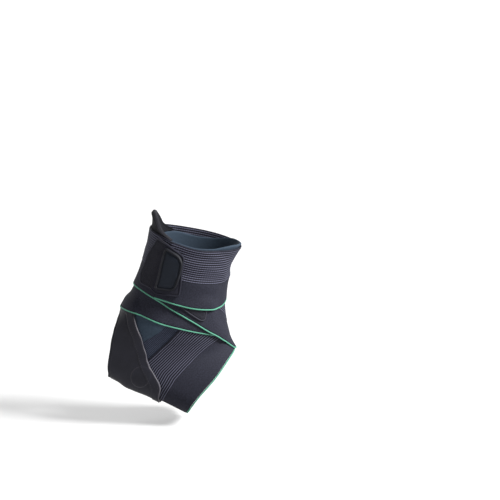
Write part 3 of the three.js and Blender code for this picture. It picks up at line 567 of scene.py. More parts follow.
def on_first_pass(station, angle):
    """Height over the first pass of the upper strap."""
    return upper_height(station, angle, 180 + angle) + STRAP_LAYER


def on_straps(station, angle):
    """Height over the end of the upper strap, or over its first pass beyond that."""
    lift = STRAP_LAYER * on_upper_end(station, angle) + under_patch_lift(station, angle)
    return on_first_pass(station, angle) + lift


def on_closure(station, angle):
    """Height over the closure patch."""
    return on_straps(station, angle) + PATCH_LAYER


# Outlines of the pads

def inset_corners(corners, inset):
    """Corners of an outline whose sides have all moved inwards by an inset."""
    before, after = unit(corners - np.roll(corners, 1, 0)), unit(np.roll(corners, -1, 0) - corners)
    crossed = before[:, 0] * after[:, 1] - before[:, 1] * after[:, 0]
    inwards = [np.stack([-way[:, 1], way[:, 0]], 1) * np.sign(crossed.sum()) for way in (before, after)]
    together = 1 + (inwards[0] * inwards[1]).sum(1, keepdims=True)
    return corners + inset * (inwards[0] + inwards[1]) / together


def rounded_outline(corners, radius):
    """Closed outline through corners, each rounded by a quadratic curve that starts a radius before it,
    with straight sides between them."""
    longest = 0.45
    start, stop = (corners + unit(side) * np.minimum(radius, np.linalg.norm(side, axis=1) * longest)[:, None]
                   for side in (np.roll(corners, way, 0) - corners for way in (1, -1)))
    t = np.linspace(0, 1, 10)[:, None, None]
    curve = (1 - t) ** 2 * start + 2 * t * (1 - t) * corners + t ** 2 * stop
    side = mix(stop, np.roll(start, -1, 0), np.linspace(0, 1, 12)[1:-1, None, None])
    return np.swapaxes(np.concatenate([curve, side]), 0, 1).reshape(-1, 2)


def pad_rings(rows, corner, length, width, level, insets=(0.0,), inner=0):
    """Rings of a pad on the straps as stations and angles, from its corner: its outline moved inwards by
    each inset, then inner rings that shrink to the middle by even shares, and the inset of each ring."""
    station, angle = (np.float64(value) for value in corner)
    across, up = degree_length(station, angle, level), station_length(station - 1, angle)
    corners = np.array(rows) * (length, width)
    rings = np.stack([
        rounded_outline(inset_corners(corners, inset), max(PAD_CORNER_RADIUS - inset, SMALLEST_CORNER))
        for inset in insets])
    middle = rings[-1].mean(0)
    shares = np.linspace(1, 0, inner + 2)[1:-1, None, None]
    reach = np.linalg.norm(rings[-1] - middle, axis=1).min()
    depth = np.concatenate([insets, insets[-1] + reach * (1 - shares[:, 0, 0])])
    rings = np.concatenate([rings, middle + shares * (rings[-1] - middle)])
    return station - rings[..., 1] / up, angle + rings[..., 0] / across, depth


CLOSURE = (CLOSURE_OUTLINE, CLOSURE_CORNER, PATCH_LENGTH, PATCH_WIDTH, SLEEVE_LAYER + STRAP_LAYER * 4)
TAB = (TAB_OUTLINE, TAB_CORNER, TAB_LENGTH, TAB_WIDTH, CLOSURE[-1] + PATCH_LAYER)
UNDER_PATCH = (UNDER_PATCH_OUTLINE, UNDER_PATCH_CORNER, UNDER_PATCH_LENGTH, UNDER_PATCH_WIDTH,
               SLEEVE_LAYER + STRAP_LAYER * 2)
under_stations, under_angles = pad_rings(*UNDER_PATCH)[:2]


def under_patch_lift(station, angle):
    """How far the under patch lifts the second pass of the upper strap."""
    wrapped = np.mod(angle, 360)
    up, across = station_length(station, angle), degree_length(station, angle, SLEEVE_WALL)
    return PATCH_LAYER * lap(
        (under_stations.min() - station) * up, (station - under_stations.max()) * up,
        (under_angles.min() - wrapped) * across, (wrapped - under_angles.max()) * across)


# Mesh tools

def new_piece(name, points, quads, uv_maps=(), other_faces=()):
    """Mesh object at the origin from points of the level foot and quads, turned outwards by the sign of
    its volume. Each UV map is a name and one pair for each point."""
    points = lift_heel(points.reshape(-1, 3))
    a, b, c, d = (points[quads[:, k]] for k in range(4))
    volume = (np.cross(b - a, c - a) * a).sum() + (np.cross(c - a, d - a) * a).sum()
    faces = quads.tolist() + [list(face) for face in other_faces]
    if volume < 0:
        faces = [face[::-1] for face in faces]
    mesh = bpy.data.meshes.new(name)
    mesh.from_pydata(points, [], faces)
    mesh.polygons.foreach_set("use_smooth", np.ones(len(mesh.polygons), bool))
    corners = np.empty(len(mesh.loops), np.int32)
    mesh.loops.foreach_get("vertex_index", corners)
    for map_name, values in uv_maps:
        layer = mesh.uv_layers.new(name=map_name)
        layer.data.foreach_set("uv", values.reshape(-1, 2)[corners].ravel())
    mesh.validate()
    return link_object(name, mesh)


def link_object(name, data):
    """Object of the scene with this data."""
    thing = bpy.data.objects.new(name, data)
    bpy.context.scene.collection.objects.link(thing)
    return thing


def paired(first, second):
    """Pairs of two values, each repeated to the shape of both."""
    return np.stack(np.broadcast_arrays(first, second), -1)


def net_faces(columns, rows, closed_columns=False, closed_rows=False):
    """Quads of a net of points, column after column, closed round either way where asked."""
    i = np.arange(columns if closed_columns else columns - 1)[:, None]
    j = np.arange(rows if closed_rows else rows - 1)[None, :]
    right, down = (i + 1) % columns, (j + 1) % rows
    corners = i * rows + j, right * rows + j, right * rows + down, i * rows + down
    return np.stack(np.broadcast_arrays(*corners), -1).reshape(-1, 4)


def loft(name, loops, uv_maps=(), closed=False):
    """Piece whose closed loops of points, one for each column, are joined in order. An open one gets a
    flat cap at each end."""
    columns, rows = loops.shape[:2]
    caps = () if closed else (range(rows), range(columns * rows - 1, (columns - 1) * rows - 1, -1))
    return new_piece(name, loops, net_faces(columns, rows, closed, True), uv_maps, caps)


def even_column(ends, angle, wanted):
    """Stations at the wanted fractions of the length of each column of the form, between two ends."""
    count = 60
    line = mix(ends[0][:, None], ends[1][:, None], np.linspace(0, 1, count + 1))
    steps = np.linalg.norm(np.diff(ankle_point(line, angle[:, None]), axis=1), axis=-1)
    length = np.concatenate([np.zeros((len(steps), 1)), np.cumsum(steps, 1)], 1)
    length /= length[:, -1:]
    index = np.clip((length[:, None, :] <= wanted[None, :, None]).sum(-1) - 1, 0, count - 1)
    low, high = (np.take_along_axis(length, index + k, 1) for k in (0, 1))
    return mix(ends[0][:, None], ends[1][:, None], (index + (wanted - low) / (high - low)) / count)


def straight_lines(station, angle, wanted):
    """Stations and angles at the wanted fractions of the straightest lines on the form between two ends,
    found by pulling each point of a line again and again to the middle of its neighbours."""
    points, rounds, step = 21, 110, 0.004
    share = np.linspace(0, 1, points)
    place = np.stack([mix(ends[0][:, None], ends[1][:, None], share) for ends in (station, angle)])
    for _ in range(rounds):
        here = ankle_point(*place)
        pull = here[:, :-2] + here[:, 2:] - 2 * here[:, 1:-1]
        s, a = place[:, :, 1:-1]
        down = (ankle_point(s + step, a) - ankle_point(s - step, a)) / (2 * step)
        around = (ankle_point(s, a + 10 * step) - ankle_point(s, a - 10 * step)) / (20 * step)
        dd, aa, da, pd, pa = ((left * right).sum(-1) for left, right in (
            (down, down), (around, around), (down, around), (pull, down), (pull, around)))
        full = 2 * (dd * aa - da * da)
        place[0, :, 1:-1] += (pd * aa - pa * da) / full
        place[1, :, 1:-1] += (pa * dd - pd * da) / full
    at = np.clip(wanted, 0, 1) * (points - 1)
    index = np.minimum(at.astype(int), points - 2)
    return mix(place[:, :, index], place[:, :, index + 1], at - index)


def rounded_profile(outer, inner, wall, width):
    """Loop across a strip: fractions of its width and shares of its wall for the outer face from 0 to 1,
    a half round edge, the inner face back to 0 and the other half round edge."""
    radius = wall / 2 / width
    sine, cosine = (wave(np.linspace(0, np.pi, 7)[1:-1]) for wave in (np.sin, np.cos))
    fraction = np.concatenate([mix(radius, 1 - radius, outer), 1 - radius + radius * sine,
                               mix(radius, 1 - radius, inner[::-1]), radius - radius * sine])
    depth = np.concatenate([np.ones(len(outer)), 0.5 + 0.5 * cosine, np.zeros(len(inner)),
                            0.5 - 0.5 * cosine])
    return fraction, depth


# Straps and their green edges

def rib_wave(fraction, sizes):
    """1 on the crest of a lengthwise rib and 0 between ribs and beyond the ribbed zone."""
    position = (fraction - sizes.rib_start) / (sizes.rib_end - sizes.rib_start)
    crest = 0.5 - 0.5 * np.cos(2 * np.pi * position * sizes.rib_count)
    sharpness = 1.5
    return np.where((position > 0) & (position < 1), crest ** sharpness, 0)


def build_strap(name, strap, height, sizes):
    """Elastic strap: cross lines at even steps, each a rounded profile whose outer face rises by the rib
    wave and a ripple, the product of two sines, over the height of the layers below."""
    travel = np.linspace(0, strap.travel[-1], int(strap.travel[-1] / sizes.column_step) + 1)
    outer = np.concatenate([
        np.linspace(0, sizes.rib_start, 16, endpoint=False),
        np.linspace(sizes.rib_start, sizes.rib_end, 6 * sizes.rib_count, endpoint=False),
        np.linspace(sizes.rib_end, 1, 4)])
    fraction, depth = rounded_profile(outer, np.linspace(0, 1, 24), STRAP_WALL, STRAP_WIDTH)
    station, angle = straight_lines(*strap.lines(np.interp(travel, strap.travel, strap.turn)), fraction)
    base = height(station, angle, 180 - strap.side * angle)
    ripple = np.prod([np.sin(travel[:, None] / length + lean * fraction)
                      for length, lean in RIPPLES], axis=0)
    relief = sizes.rib_height * rib_wave(fraction, sizes) + sizes.ripple * ripple
    loops = stand_off(station, angle, base + mix(-TUCK, STRAP_WALL, depth) + (depth >= 1) * relief)
    return loft(name, loops, [("cloth", paired(travel[:, None], fraction * STRAP_WIDTH) / MM)])


def build_edge(name, strap, height, sizes):
    """Woven green edge: a rounded square profile, of radius (|cos|³ + |sin|³)^(-1/3), carried beside the
    strap's edge, whose size swells a little at each pick of the weave."""
    travel = travelled(ankle_point(strap.edge, strap.angle_of(strap.turn)))
    wanted = np.linspace(0, travel[-1], int(travel[-1] / sizes.edge_step) + 1)
    turn = np.interp(wanted, travel, strap.turn)
    angle, station = strap.angle_of(turn), strap.edge_of(turn)
    base = height(station, angle, turn)
    low, high = stand_off(station, angle, base - TUCK), stand_off(station, angle, base + STRAP_WALL)
    up = unit(high - low)
    aside = unit(np.cross(np.gradient(low, axis=0), up)) * strap.side
    theta = np.linspace(0, 2 * np.pi, 12, endpoint=False)
    cosine, sine = np.cos(theta), np.sin(theta)
    square = (np.abs(cosine) ** 3 + np.abs(sine) ** 3) ** (-1 / 3)
    pick = 1 + sizes.pick_swell * np.cos(2 * np.pi * wanted / sizes.pick_pitch)
    radius = square * pick[:, None] * sizes.cord_width / 2
    middle = (low + high) / 2 + aside * (sizes.cord_width / 2 + EDGE_CLEARANCE)
    loops = (middle[:, None] + aside[:, None] * (radius * cosine)[..., None]
             + up[:, None] * (radius * sine)[..., None])
    return loft(name, loops, [("cloth", paired(wanted[:, None], theta * sizes.cord_width / 2) / MM)])


# Sleeve, rim pad and heel panel

def opening_depth(points):
    """Distance inside the heel opening, negative outside it: behind its front and between its sides,
    whose half width follows the height, with rounded corners between them."""
    x, y, z = np.moveaxis(points, -1, 0)
    sideways, back = opening_half(z) - np.abs(y), -OPENING_FRONT - x
    top = OPENING[-1, 0] * SOLE_DEPTH - z
    rounded = OPENING_CORNER - np.hypot(*(np.maximum(OPENING_CORNER - way, 0) for way in (sideways, back)))
    in_corner = (sideways < OPENING_CORNER) & (back < OPENING_CORNER)
    return np.minimum(np.where(in_corner, rounded, np.minimum(sideways, back)), top)


def on_rays(directions, share):
    """Stations and angles a share of the way along rays from the middle of the heel opening."""
    return [OPENING_CENTRE[k] + share * directions[..., k] for k in (0, 1)]


def first_outside(is_inside, directions, start):
    """Shares at which rays leave a region, by halving the way again and again between a share that is
    inside and one that is outside."""
    low, high = start, np.full(len(directions), RAY_REACH)
    for _ in range(36):
        half = (low + high) / 2
        inside = is_inside(*on_rays(directions, half))
        low, high = np.where(inside, half, low), np.where(inside, high, half)
    return low


def panel_rays(count):
    """Rays round the heel opening, evenly spaced along the heel panel's outer edge: their directions in
    stations and degrees, where they leave the opening and where they leave the panel."""
    def in_opening(station, angle):
        return opening_depth(stand_off(station, angle, SLEEVE_LAYER + STRAP_WALL)) > 0

    def in_panel(station, angle):
        near = fold(angle)
        inside = np.maximum(near, PANEL_START)
        return (near >= PANEL_START) & (station > panel_top(inside)) & (station < panel_bottom(inside))

    def rays(turn):
        directions = np.stack([np.cos(turn), np.sin(turn)], 1) * RAY_SPREAD
        rim = first_outside(in_opening, directions, np.zeros(len(turn)))
        return directions, rim, first_outside(in_panel, directions, rim)

    turn = np.linspace(0, 2 * np.pi, 4001)
    directions, _, edge = rays(turn)
    travel = travelled(ankle_point(*on_rays(directions, edge)))
    return rays(np.interp(np.linspace(0, travel[-1], count, endpoint=False), travel, turn))


def bump(distance, half_width):
    """1 on a line and about 0 beyond twice its half width: exp(-(distance / half width)²)."""
    return np.exp(-(distance / half_width) ** 2)


def build_panel(name, sizes):
    """Heel panel: rays from the opening's rim to the outer edge, each a rounded profile, with a folded
    hem along the front, a bound rim, a round pad inside and soft creases. Also its rows of stitches."""
    directions, rim, edge = panel_rays(sizes.panel_columns)
    rim_line, edge_line = (ankle_point(*on_rays(directions, share)) for share in (rim, edge))
    even, evenness = np.linspace(0, 1, sizes.panel_rows), 0.6
    outer = mix(0.5 - 0.5 * np.cos(np.pi * even), even, evenness)
    fraction, depth = rounded_profile(outer, np.linspace(0, 1, 20), HEEL_PANEL_WALL, PANEL_STRIP)
    station, angle = on_rays(directions[:, None], mix(rim[:, None], edge[:, None], fraction))
    surface = ankle_point(station, angle)
    from_edge, from_rim = nearest_distance(surface, edge_line), nearest_distance(surface, rim_line)
    from_disc = np.linalg.norm(surface - ankle_point(sizes.disc_station, sizes.disc_angle), axis=-1)
    hem = smooth_step(from_edge, sizes.hem_width + HEM_STEP, sizes.hem_width - HEM_STEP)
    disc = smooth_step(from_disc, sizes.disc_radius + MM, sizes.disc_radius - MM)
    crumple = (np.sin(from_rim / CREASE_LENGTH + station * CREASE_TURNS[0])
               * np.sin(station * CREASE_TURNS[1] + angle / CREASE_DEGREES))
    relief = (sizes.hem_rise * hem - BINDING_GROOVE * bump(from_rim - sizes.binding_width, GROOVE)
              - HEM_GROOVE * bump(from_edge - sizes.hem_width - HEM_GROOVE_GAP, GROOVE)
              + sizes.disc_rise * disc + sizes.crumple * crumple * (1 - hem))
    rise = mix(-TUCK, HEEL_PANEL_WALL, depth) + (depth >= 1) * relief
    loops = stand_off(station, angle, panel_height(station, angle) + rise)
    on_side_wall = (depth > 0) & (depth < 1) & (fraction > 0.5)
    panel = loft(name, loops, [
        ("edges", paired(np.where(on_side_wall, 0, from_edge), from_rim) / MM),
        ("ring", paired(from_disc - sizes.disc_radius, from_edge - sizes.hem_width) / MM)], closed=True)
    top = slice(0, sizes.panel_rows)
    out = unit(stand_off(station, angle, MM) - surface)
    return panel, [seam_path(distance[:, top], wanted, loops[:, top], out[:, top])
                   for distance, wanted in ((from_edge, FRONT_SEAM), (from_edge, sizes.hem_width - MM),
                                            (from_rim, sizes.binding_width - MM))]


def seam_path(distance, wanted, points, out):
    """Closed path over columns of points at the wanted distance from a border, and its outward ways: in
    each column the place between the two points where the distance passes the wanted one."""
    passed = (distance - wanted) * (distance - wanted)[:, [0]] > 0
    index = np.clip(passed.sum(1, keepdims=True), 1, distance.shape[1] - 1)
    low, high = (np.take_along_axis(distance, index + k, 1) for k in (-1, 0))
    share = np.clip((wanted - low) / (high - low), 0, 1)[..., None]
    path, ways = (mix(*(np.take_along_axis(values, (index + k)[..., None], 1) for k in (-1, 0)), share)[:, 0]
                  for values in (points, out))
    return np.vstack([path, path[:1]]), unit(np.vstack([ways, ways[:1]]))


def build_sleeve(name, sizes):
    """Knitted sleeve: a tube of columns from the top rim to the toe edge, each a rounded profile. The
    second UV map holds the distance from the lower strap and how far inside the ribbed zone it lies."""
    angle = np.linspace(0, 360, sizes.sleeve_columns, endpoint=False)
    turn = np.maximum(180 - fold(angle), lower_strap.turn[0])
    toe, _ = walk_up(lower_strap.edge_of(turn), angle, SLEEVE_SETBACK)
    rows = np.linspace(0, 1, sizes.sleeve_rows)
    fraction, depth = rounded_profile(rows, rows, SLEEVE_WALL, SLEEVE_LENGTH)
    station = even_column((sleeve_top(fold(angle)), toe), angle, fraction)
    angle = np.broadcast_to(angle[:, None], station.shape)
    from_strap = lower_root_map(station, angle)
    limit = (sizes.ribbed_width + sizes.ribbed_spread * (station - RIBBED_STATION)) * MM
    first, last = RIBBED_ANGLES
    ribbed = np.where((angle > first) & (angle < last) & (depth >= 1), limit - from_strap, -1)
    cloth = paired(angle * KNIT_DEGREE, fraction * KNIT_HEIGHT)
    return loft(name, stand_off(station, angle, SLEEVE_WALL * depth),
                [("cloth", cloth), ("ribs", paired(from_strap, ribbed) / MM)], closed=True)


def opening_cutter():
    """Closed prism that cuts the heel opening out of the sleeve, a setback larger than the panel's."""
    closer = -0.1
    z = SOLE_DEPTH * np.concatenate([np.linspace(OPENING[0, 0], closer, 30),
                                     np.linspace(closer, OPENING[-1, 0], 30)[1:]])
    right = np.stack([opening_half(z), z], 1) + SLEEVE_SETBACK
    outline = np.vstack([right, right[::-1] * (-1, 1)])
    x = np.array([SLEEVE_SETBACK - OPENING_FRONT, -2 * HEEL_REACH])
    return loft("opening_cutter", np.stack(np.broadcast_arrays(x[:, None], *outline.T), -1))


def build_rim_pad(name, sizes):
    """Padded rim at the back: a rounded profile between its top and the sleeve's, thickest at its rolled
    top and thin at both tips."""
    angle = np.linspace(RIM_PAD_START, 360 - RIM_PAD_START, 150)
    bottom, _ = walk_up(sleeve_top(fold(angle)), angle, SIDE_GAP)
    rows = np.linspace(0, 1, 24)
    fraction, depth = rounded_profile(rows, rows, RIM_PAD_WALL, RIM_PAD_HEIGHT)
    station = even_column((pad_top(fold(angle)), bottom), angle, fraction)
    top, inwards = 0.12, 0.6
    roll = sizes.roll_rise * bump(fraction - top, top)
    rise = RIM_PAD_WALL * depth + np.where(depth >= 1, roll, 0) - np.where(depth <= 0, roll * inwards, 0)
    return loft(name, stand_off(station, angle[:, None], rise),
                [("cloth", paired(angle[:, None] * PAD_DEGREE, fraction * PAD_HEIGHT))])


# Pads on the straps

def build_pad(name, pad, level, profile):
    """Pad: rings from its outline inwards, raised over the layers below as its profile says, closed by one
    point above and one below. Its second UV map holds the distance from its border."""
    insets, rises = profile.T
    inner = 12
    station, angle, depth = pad_rings(*pad, insets, inner)
    base = level(station, angle)
    over = stand_off(station, angle, base + np.concatenate([rises, np.full(inner, rises[-1])])[:, None])
    under_rows = [len(depth) - 4, len(insets) - 1, 0]
    under = stand_off(station[under_rows], angle[under_rows], base[under_rows] - TUCK)
    middle = station[-1].mean(), angle[-1].mean()
    poles = [stand_off(*middle, level(*middle) + lift) for lift in (-TUCK, rises[-1])]
    count, size = len(under_rows) + len(depth), station.shape[1]
    ring, top, pole = np.arange(size), (count - 1) * size, count * size
    following = (ring + 1) % size
    ends = np.vstack([np.stack([ring, following, ring * 0 + pole], 1),
                      np.stack([top + following, top + ring, ring * 0 + pole + 1], 1)])
    scale = degree_length(*middle, base.mean()), station_length(*middle)
    flat = np.stack([(angle - middle[1]) * scale[0], (middle[0] - station) * scale[1]], -1)
    cloth = np.concatenate([flat[under_rows].reshape(-1, 2), flat.reshape(-1, 2), np.zeros((2, 2))]) / MM
    inset = np.repeat(np.concatenate([depth[under_rows], depth]), size)
    inset = np.concatenate([inset, depth[[-1, -1]]]) / MM
    uv_maps = [("cloth", cloth), ("edges", paired(inset, 0))]
    return new_piece(name, np.concatenate([under.reshape(-1, 3), over.reshape(-1, 3), poles]),
                     net_faces(count, size, False, True), uv_maps, ends.tolist())


# Stitches

def build_stitches(name, paths, sizes):
    """Rows of sewing stitches: along each path of points and their outward directions, one small half
    sunk bead of thread for each stitch, all joined in one mesh."""
    rings, sides, taper, bow = 7, 6, 0.96, 0.8
    along = np.linspace(-1, 1, rings)[:, None]
    theta = np.linspace(0, 2 * np.pi, sides, endpoint=False)
    thick = sizes.thread_radius * np.sqrt(1 - taper * along ** 4)
    bead = np.stack(np.broadcast_arrays(
        along * sizes.stitch_length / 2, thick * np.cos(theta),
        thick * np.sin(theta) - sizes.thread_radius * bow * along ** 2), -1).reshape(-1, 3)
    points = []
    for path, out in paths:
        travel = travelled(path)
        at = np.arange(sizes.stitch_pitch, travel[-1], sizes.stitch_pitch)
        middle, up, forward = (np.stack([np.interp(at, travel, column) for column in values.T], 1)
                               for values in (path, out, np.gradient(path, axis=0)))
        forward = unit(forward)
        side = unit(np.cross(up, forward))
        ways = np.stack([forward, side, np.cross(forward, side)], 1)
        points.append(middle[:, None] + bead @ ways)
    points = np.concatenate(points)
    first = np.arange(len(points))[:, None, None] * rings * sides
    ends = np.array([np.arange(sides), (rings - 1) * sides + np.arange(sides)[::-1]])
    return new_piece(name, points, (first + net_faces(rings, sides, False, True)).reshape(-1, 4), (),
                     (first + ends).reshape(-1, sides).tolist())


# Materials

def add_node(tree, kind, *values, inputs=None, output=0, **settings):
    """Adds a node with its settings, sets or links its inputs in their order or by name, and gives one of
    its outputs."""
    node = tree.nodes.new("ShaderNode" + kind)
    for name, value in settings.items():
        setattr(node, name, value)
    for key, value in [*enumerate(values), *(inputs or {}).items()]:
        if isinstance(value, bpy.types.NodeSocket):
            tree.links.new(value, node.inputs[key])
        else:
            node.inputs[key].default_value = value
    return node.outputs[output] if node.outputs else None


def new_material(name):
    """Empty node material, and add_node for its tree."""
    material = bpy.data.materials.new(name)
    material.use_nodes = True
    material.node_tree.nodes.clear()
    return material, partial(add_node, material.node_tree)


def axes_of(node, uv_map):
    """A UV map in millimetres, and its two coordinates."""
    uv = node("UVMap", uv_map=uv_map)
    return uv, *node("SeparateXYZ", uv).node.outputs[:2]


def wave(node, value, pitch, phase=0.0):
    """0 to 1 and back once in each pitch: 0.5 + 0.5 cos(2π value / pitch + phase)."""
    turn = node("Math", value, 2 * np.pi / pitch, phase, operation="MULTIPLY_ADD")
    return node("Math", node("Math", turn, operation="COSINE"), 0.5, 0.5, operation="MULTIPLY_ADD")


def band(node, value, rise, fall):
    """1 between two smooth steps, each given by where it starts and where it is done."""
    up, down = (node("MapRange", value, *ends, interpolation_type="SMOOTHSTEP") for ends in (rise, fall))
    return node("Math", up, down, operation="MULTIPLY")


def painted(node, colour, *coats):
    """A colour under coats, each laid on by a share from 0 to 1: colour + share * (coat - colour)."""
    for share, coat in coats:
        colour = node("Mix", inputs={0: share, 6: colour, 7: coat}, output=2, data_type="RGBA")
    return colour


def finish(node, colour, height, depth, roughness, specular=0.5, **more):
    """Principled surface of a colour and roughness with a bump of a real depth in metres, and more of its
    inputs by their names in lower case."""
    bump = node("Bump", inputs={"Height": height, "Distance": depth, "Strength": 1.0})
    inputs = {"Base Color": colour, "Roughness": roughness, "Normal": bump, "Specular IOR Level": specular}
    inputs |= {name.replace("_", " ").title(): value for name, value in more.items()}
    node("OutputMaterial", node("BsdfPrincipled", inputs=inputs))


def slate_knit(looks):
    """Fine polyamide and elastane knit: matt, slate blue, wales 1.1 mm apart that read as a soft grain."""
    material, node = new_material("slate_knit_polyamide")
    uv, around, along = axes_of(node, "cloth")
    _, from_strap, ribbed = axes_of(node, "ribs")
    courses = node("Math", wave(node, along, 0.9), 0.5, 0.5, operation="MULTIPLY_ADD")
    stitch = node("Math", wave(node, around, 1.1), courses, operation="MULTIPLY")
    cloud = node("TexNoise", inputs={"Vector": uv, "Scale": 0.35, "Detail": 3.0, "Roughness": 0.55})
    zone = node("MapRange", ribbed, -0.2, 0.4, interpolation_type="SMOOTHSTEP")
    rib = node("Math", wave(node, from_strap, 1.55), zone, operation="MULTIPLY")
    grain = node("Math", stitch, 0.35, operation="MULTIPLY")
    grain = node("Math", cloud, 0.5, grain, operation="MULTIPLY_ADD")
    dark = painted(node, looks.knit_rib_shade, (rib, looks.knit_rib))
    colour = painted(node, looks.knit_shade, (grain, looks.knit), (zone, dark))
    height = node("Math", rib, 1.2, operation="MULTIPLY")
    height = node("Math", stitch, 0.4, height, operation="MULTIPLY_ADD")
    finish(node, colour, height, depth=0.00022, roughness=0.85, specular=0.1)
    return material


def black_elastic(looks, sizes, name, dash_depth, painted_rib_light):
    """Woven polyamide elastic: near black ground, fine plain weave on one half and raised lighter rubber
    ribs, wrapped in yarn, on the other. The weave is drawn 0.95 mm coarse so that it shows. The rib
    crests are painted paler, partly their own lighter yarn and partly a painted highlight that
    painted_rib_light scales, and broken into dashes by dash_depth."""
    material, node = new_material(name)
    uv, along, across = axes_of(node, "cloth")
    half_turn = node("Math", wave(node, across, 1.3), np.pi, operation="MULTIPLY")
    picks = wave(node, along, 1.05, half_turn)
    weave = node("Math", wave(node, across, 0.95), picks, operation="MULTIPLY")
    speckle = node("TexNoise", inputs={"Vector": uv, "Scale": 0.75, "Detail": 3.0, "Roughness": 0.7})
    start, end = (share * STRAP_WIDTH / MM for share in (sizes.rib_start, sizes.rib_end))
    zone = band(node, across, (start - 0.3, start + 0.2), (end + 0.3, end - 0.2))
    from_start = node("Math", across, start, operation="SUBTRACT")
    # Rib crests: their own lighter yarn plus a painted highlight, scaled by painted_rib_light
    crest = wave(node, from_start, (end - start) / sizes.rib_count, np.pi)
    crest = node("Math", node("Math", crest, 2.4, operation="POWER"), painted_rib_light, operation="MULTIPLY")
    dashes = node("Math", wave(node, along, 2.1), dash_depth, 1 - dash_depth, operation="MULTIPLY_ADD")
    lit = node("Math", node("Math", crest, dashes, operation="MULTIPLY"), zone, operation="MULTIPLY")
    grain = node("Math", speckle, 1.7, -0.5, operation="MULTIPLY_ADD")
    grain = node("Math", weave, 0.35, grain, operation="MULTIPLY_ADD")
    colour = painted(node, looks.elastic_shade, (grain, looks.elastic), (zone, looks.elastic_valley),
                     (lit, looks.rib))
    height = node("Math", lit, 0.8, operation="MULTIPLY")
    height = node("Math", weave, 0.35, height, operation="MULTIPLY_ADD")
    finish(node, colour, height, depth=0.0002, roughness=0.75, specular=0.1)
    return material


def green_selvedge(looks):
    """Woven polyester selvedge: mint green yarn in slanting picks with a faint sheen."""
    material, node = new_material("green_woven_selvedge")
    _, along, around = axes_of(node, "cloth")
    pick = wave(node, node("Math", around, 0.9, along, operation="MULTIPLY_ADD"), 1.2)
    colour = painted(node, looks.green_shade, (pick, looks.green))
    finish(node, colour, pick, depth=0.00012, roughness=0.6, specular=0.2)
    return material


def laminated_panel(looks):
    """Polyurethane film on stretch fabric: smooth near black with a soft sheen, a fine grain of the cloth
    below, a painted highlight round the pad inside, a pale line that stands for light on its raised rim,
    and the pale cut edge of its core along the front."""
    material, node = new_material("laminated_polyurethane_fabric")
    _, from_edge, _ = axes_of(node, "edges")
    _, from_ring, behind_hem = axes_of(node, "ring")
    place = node("TexCoord", output="Object")
    grain = node("TexNoise", inputs={"Vector": place, "Scale": 1400.0, "Detail": 2.0, "Roughness": 0.55})
    cloud = node("TexNoise", inputs={"Vector": place, "Scale": 60.0, "Detail": 3.0, "Roughness": 0.55})
    core = node("MapRange", from_edge, 0.4, 0.15, interpolation_type="SMOOTHSTEP")
    behind = node("MapRange", behind_hem, -1.5, 0.5, interpolation_type="SMOOTHSTEP")
    ring = node("Math", band(node, from_ring, (-0.7, 0.0), (0.7, 0.0)), behind, operation="MULTIPLY")
    # Painted highlight: a pale line round the round pad, standing in for light on its raised rim
    pale = node("Math", ring, 0.28, operation="MULTIPLY")
    colour = painted(node, looks.laminate_shade, (cloud, looks.laminate), (pale, looks.laminate_core_and_ring_highlight),
                     (core, looks.laminate_core_and_ring_highlight))
    height = node("Math", ring, 4.0, grain, operation="MULTIPLY_ADD")
    finish(node, colour, height, depth=0.00006, roughness=0.5, specular=0.16)
    return material


def hook_fabric(looks, name, plain_from):
    """Hook and loop patch: matt black pile of fine loops, with a smooth welded border that is painted paler
    as a painted highlight on its raised rim, and plain woven like the strap from plain_from mm in front of
    its middle."""
    material, node = new_material(name)
    uv, along, _ = axes_of(node, "cloth")
    _, inset, _ = axes_of(node, "edges")
    loops = node("TexVoronoi", inputs={"Vector": uv, "Scale": 0.95}, feature="F1")
    pile = node("TexNoise", inputs={"Vector": uv, "Scale": 0.6, "Detail": 4.0, "Roughness": 0.7})
    pile = node("Math", pile, 1.8, -0.4, operation="MULTIPLY_ADD")
    field = node("MapRange", inset, 1.9, 2.5, interpolation_type="SMOOTHSTEP")
    plain = node("MapRange", along, -plain_from, -plain_from - 1.5, interpolation_type="SMOOTHSTEP")
    # Painted highlight along the raised welded border
    border = band(node, inset, (0.5, 0.9), (1.7, 1.3))
    colour = painted(node, looks.hook_shade, (pile, looks.hook), (border, looks.hook_border_highlight),
                     (plain, looks.hook_plain))
    height = node("Math", node("Math", loops, pile, operation="ADD"), field, operation="MULTIPLY")
    finish(node, colour, height, depth=0.0003, roughness=0.9, specular=0.1)
    return material


def moulded_rubber(looks):
    """Moulded thermoplastic rubber: satin dark slate with a fine spark-eroded grain."""
    material, node = new_material("moulded_rubber")
    _, inset, _ = axes_of(node, "edges")
    place = node("TexCoord", output="Object")
    grain = node("TexNoise", inputs={"Vector": place, "Scale": 2600.0, "Detail": 2.0, "Roughness": 0.55})
    floor = node("MapRange", inset, 2.4, 2.7, interpolation_type="SMOOTHSTEP")
    colour = painted(node, looks.rubber_rim, (floor, looks.rubber))
    finish(node, colour, grain, depth=0.00005, roughness=0.6, specular=0.15)
    return material


def padded_knit(looks):
    """Brushed spacer knit of the rim: soft black with a short nap that catches light at its edges."""
    material, node = new_material("black_brushed_knit")
    uv, _, across = axes_of(node, "cloth")
    nap = node("TexNoise", inputs={"Vector": uv, "Scale": 1.2, "Detail": 4.0, "Roughness": 0.7})
    colour = painted(node, looks.pad_shade, (nap, looks.pad))
    height = node("Math", wave(node, across, 1.4), 0.4, nap, operation="MULTIPLY_ADD")
    finish(node, colour, height, depth=0.0003, roughness=0.9, specular=0.1, sheen_weight=0.02)
    return material


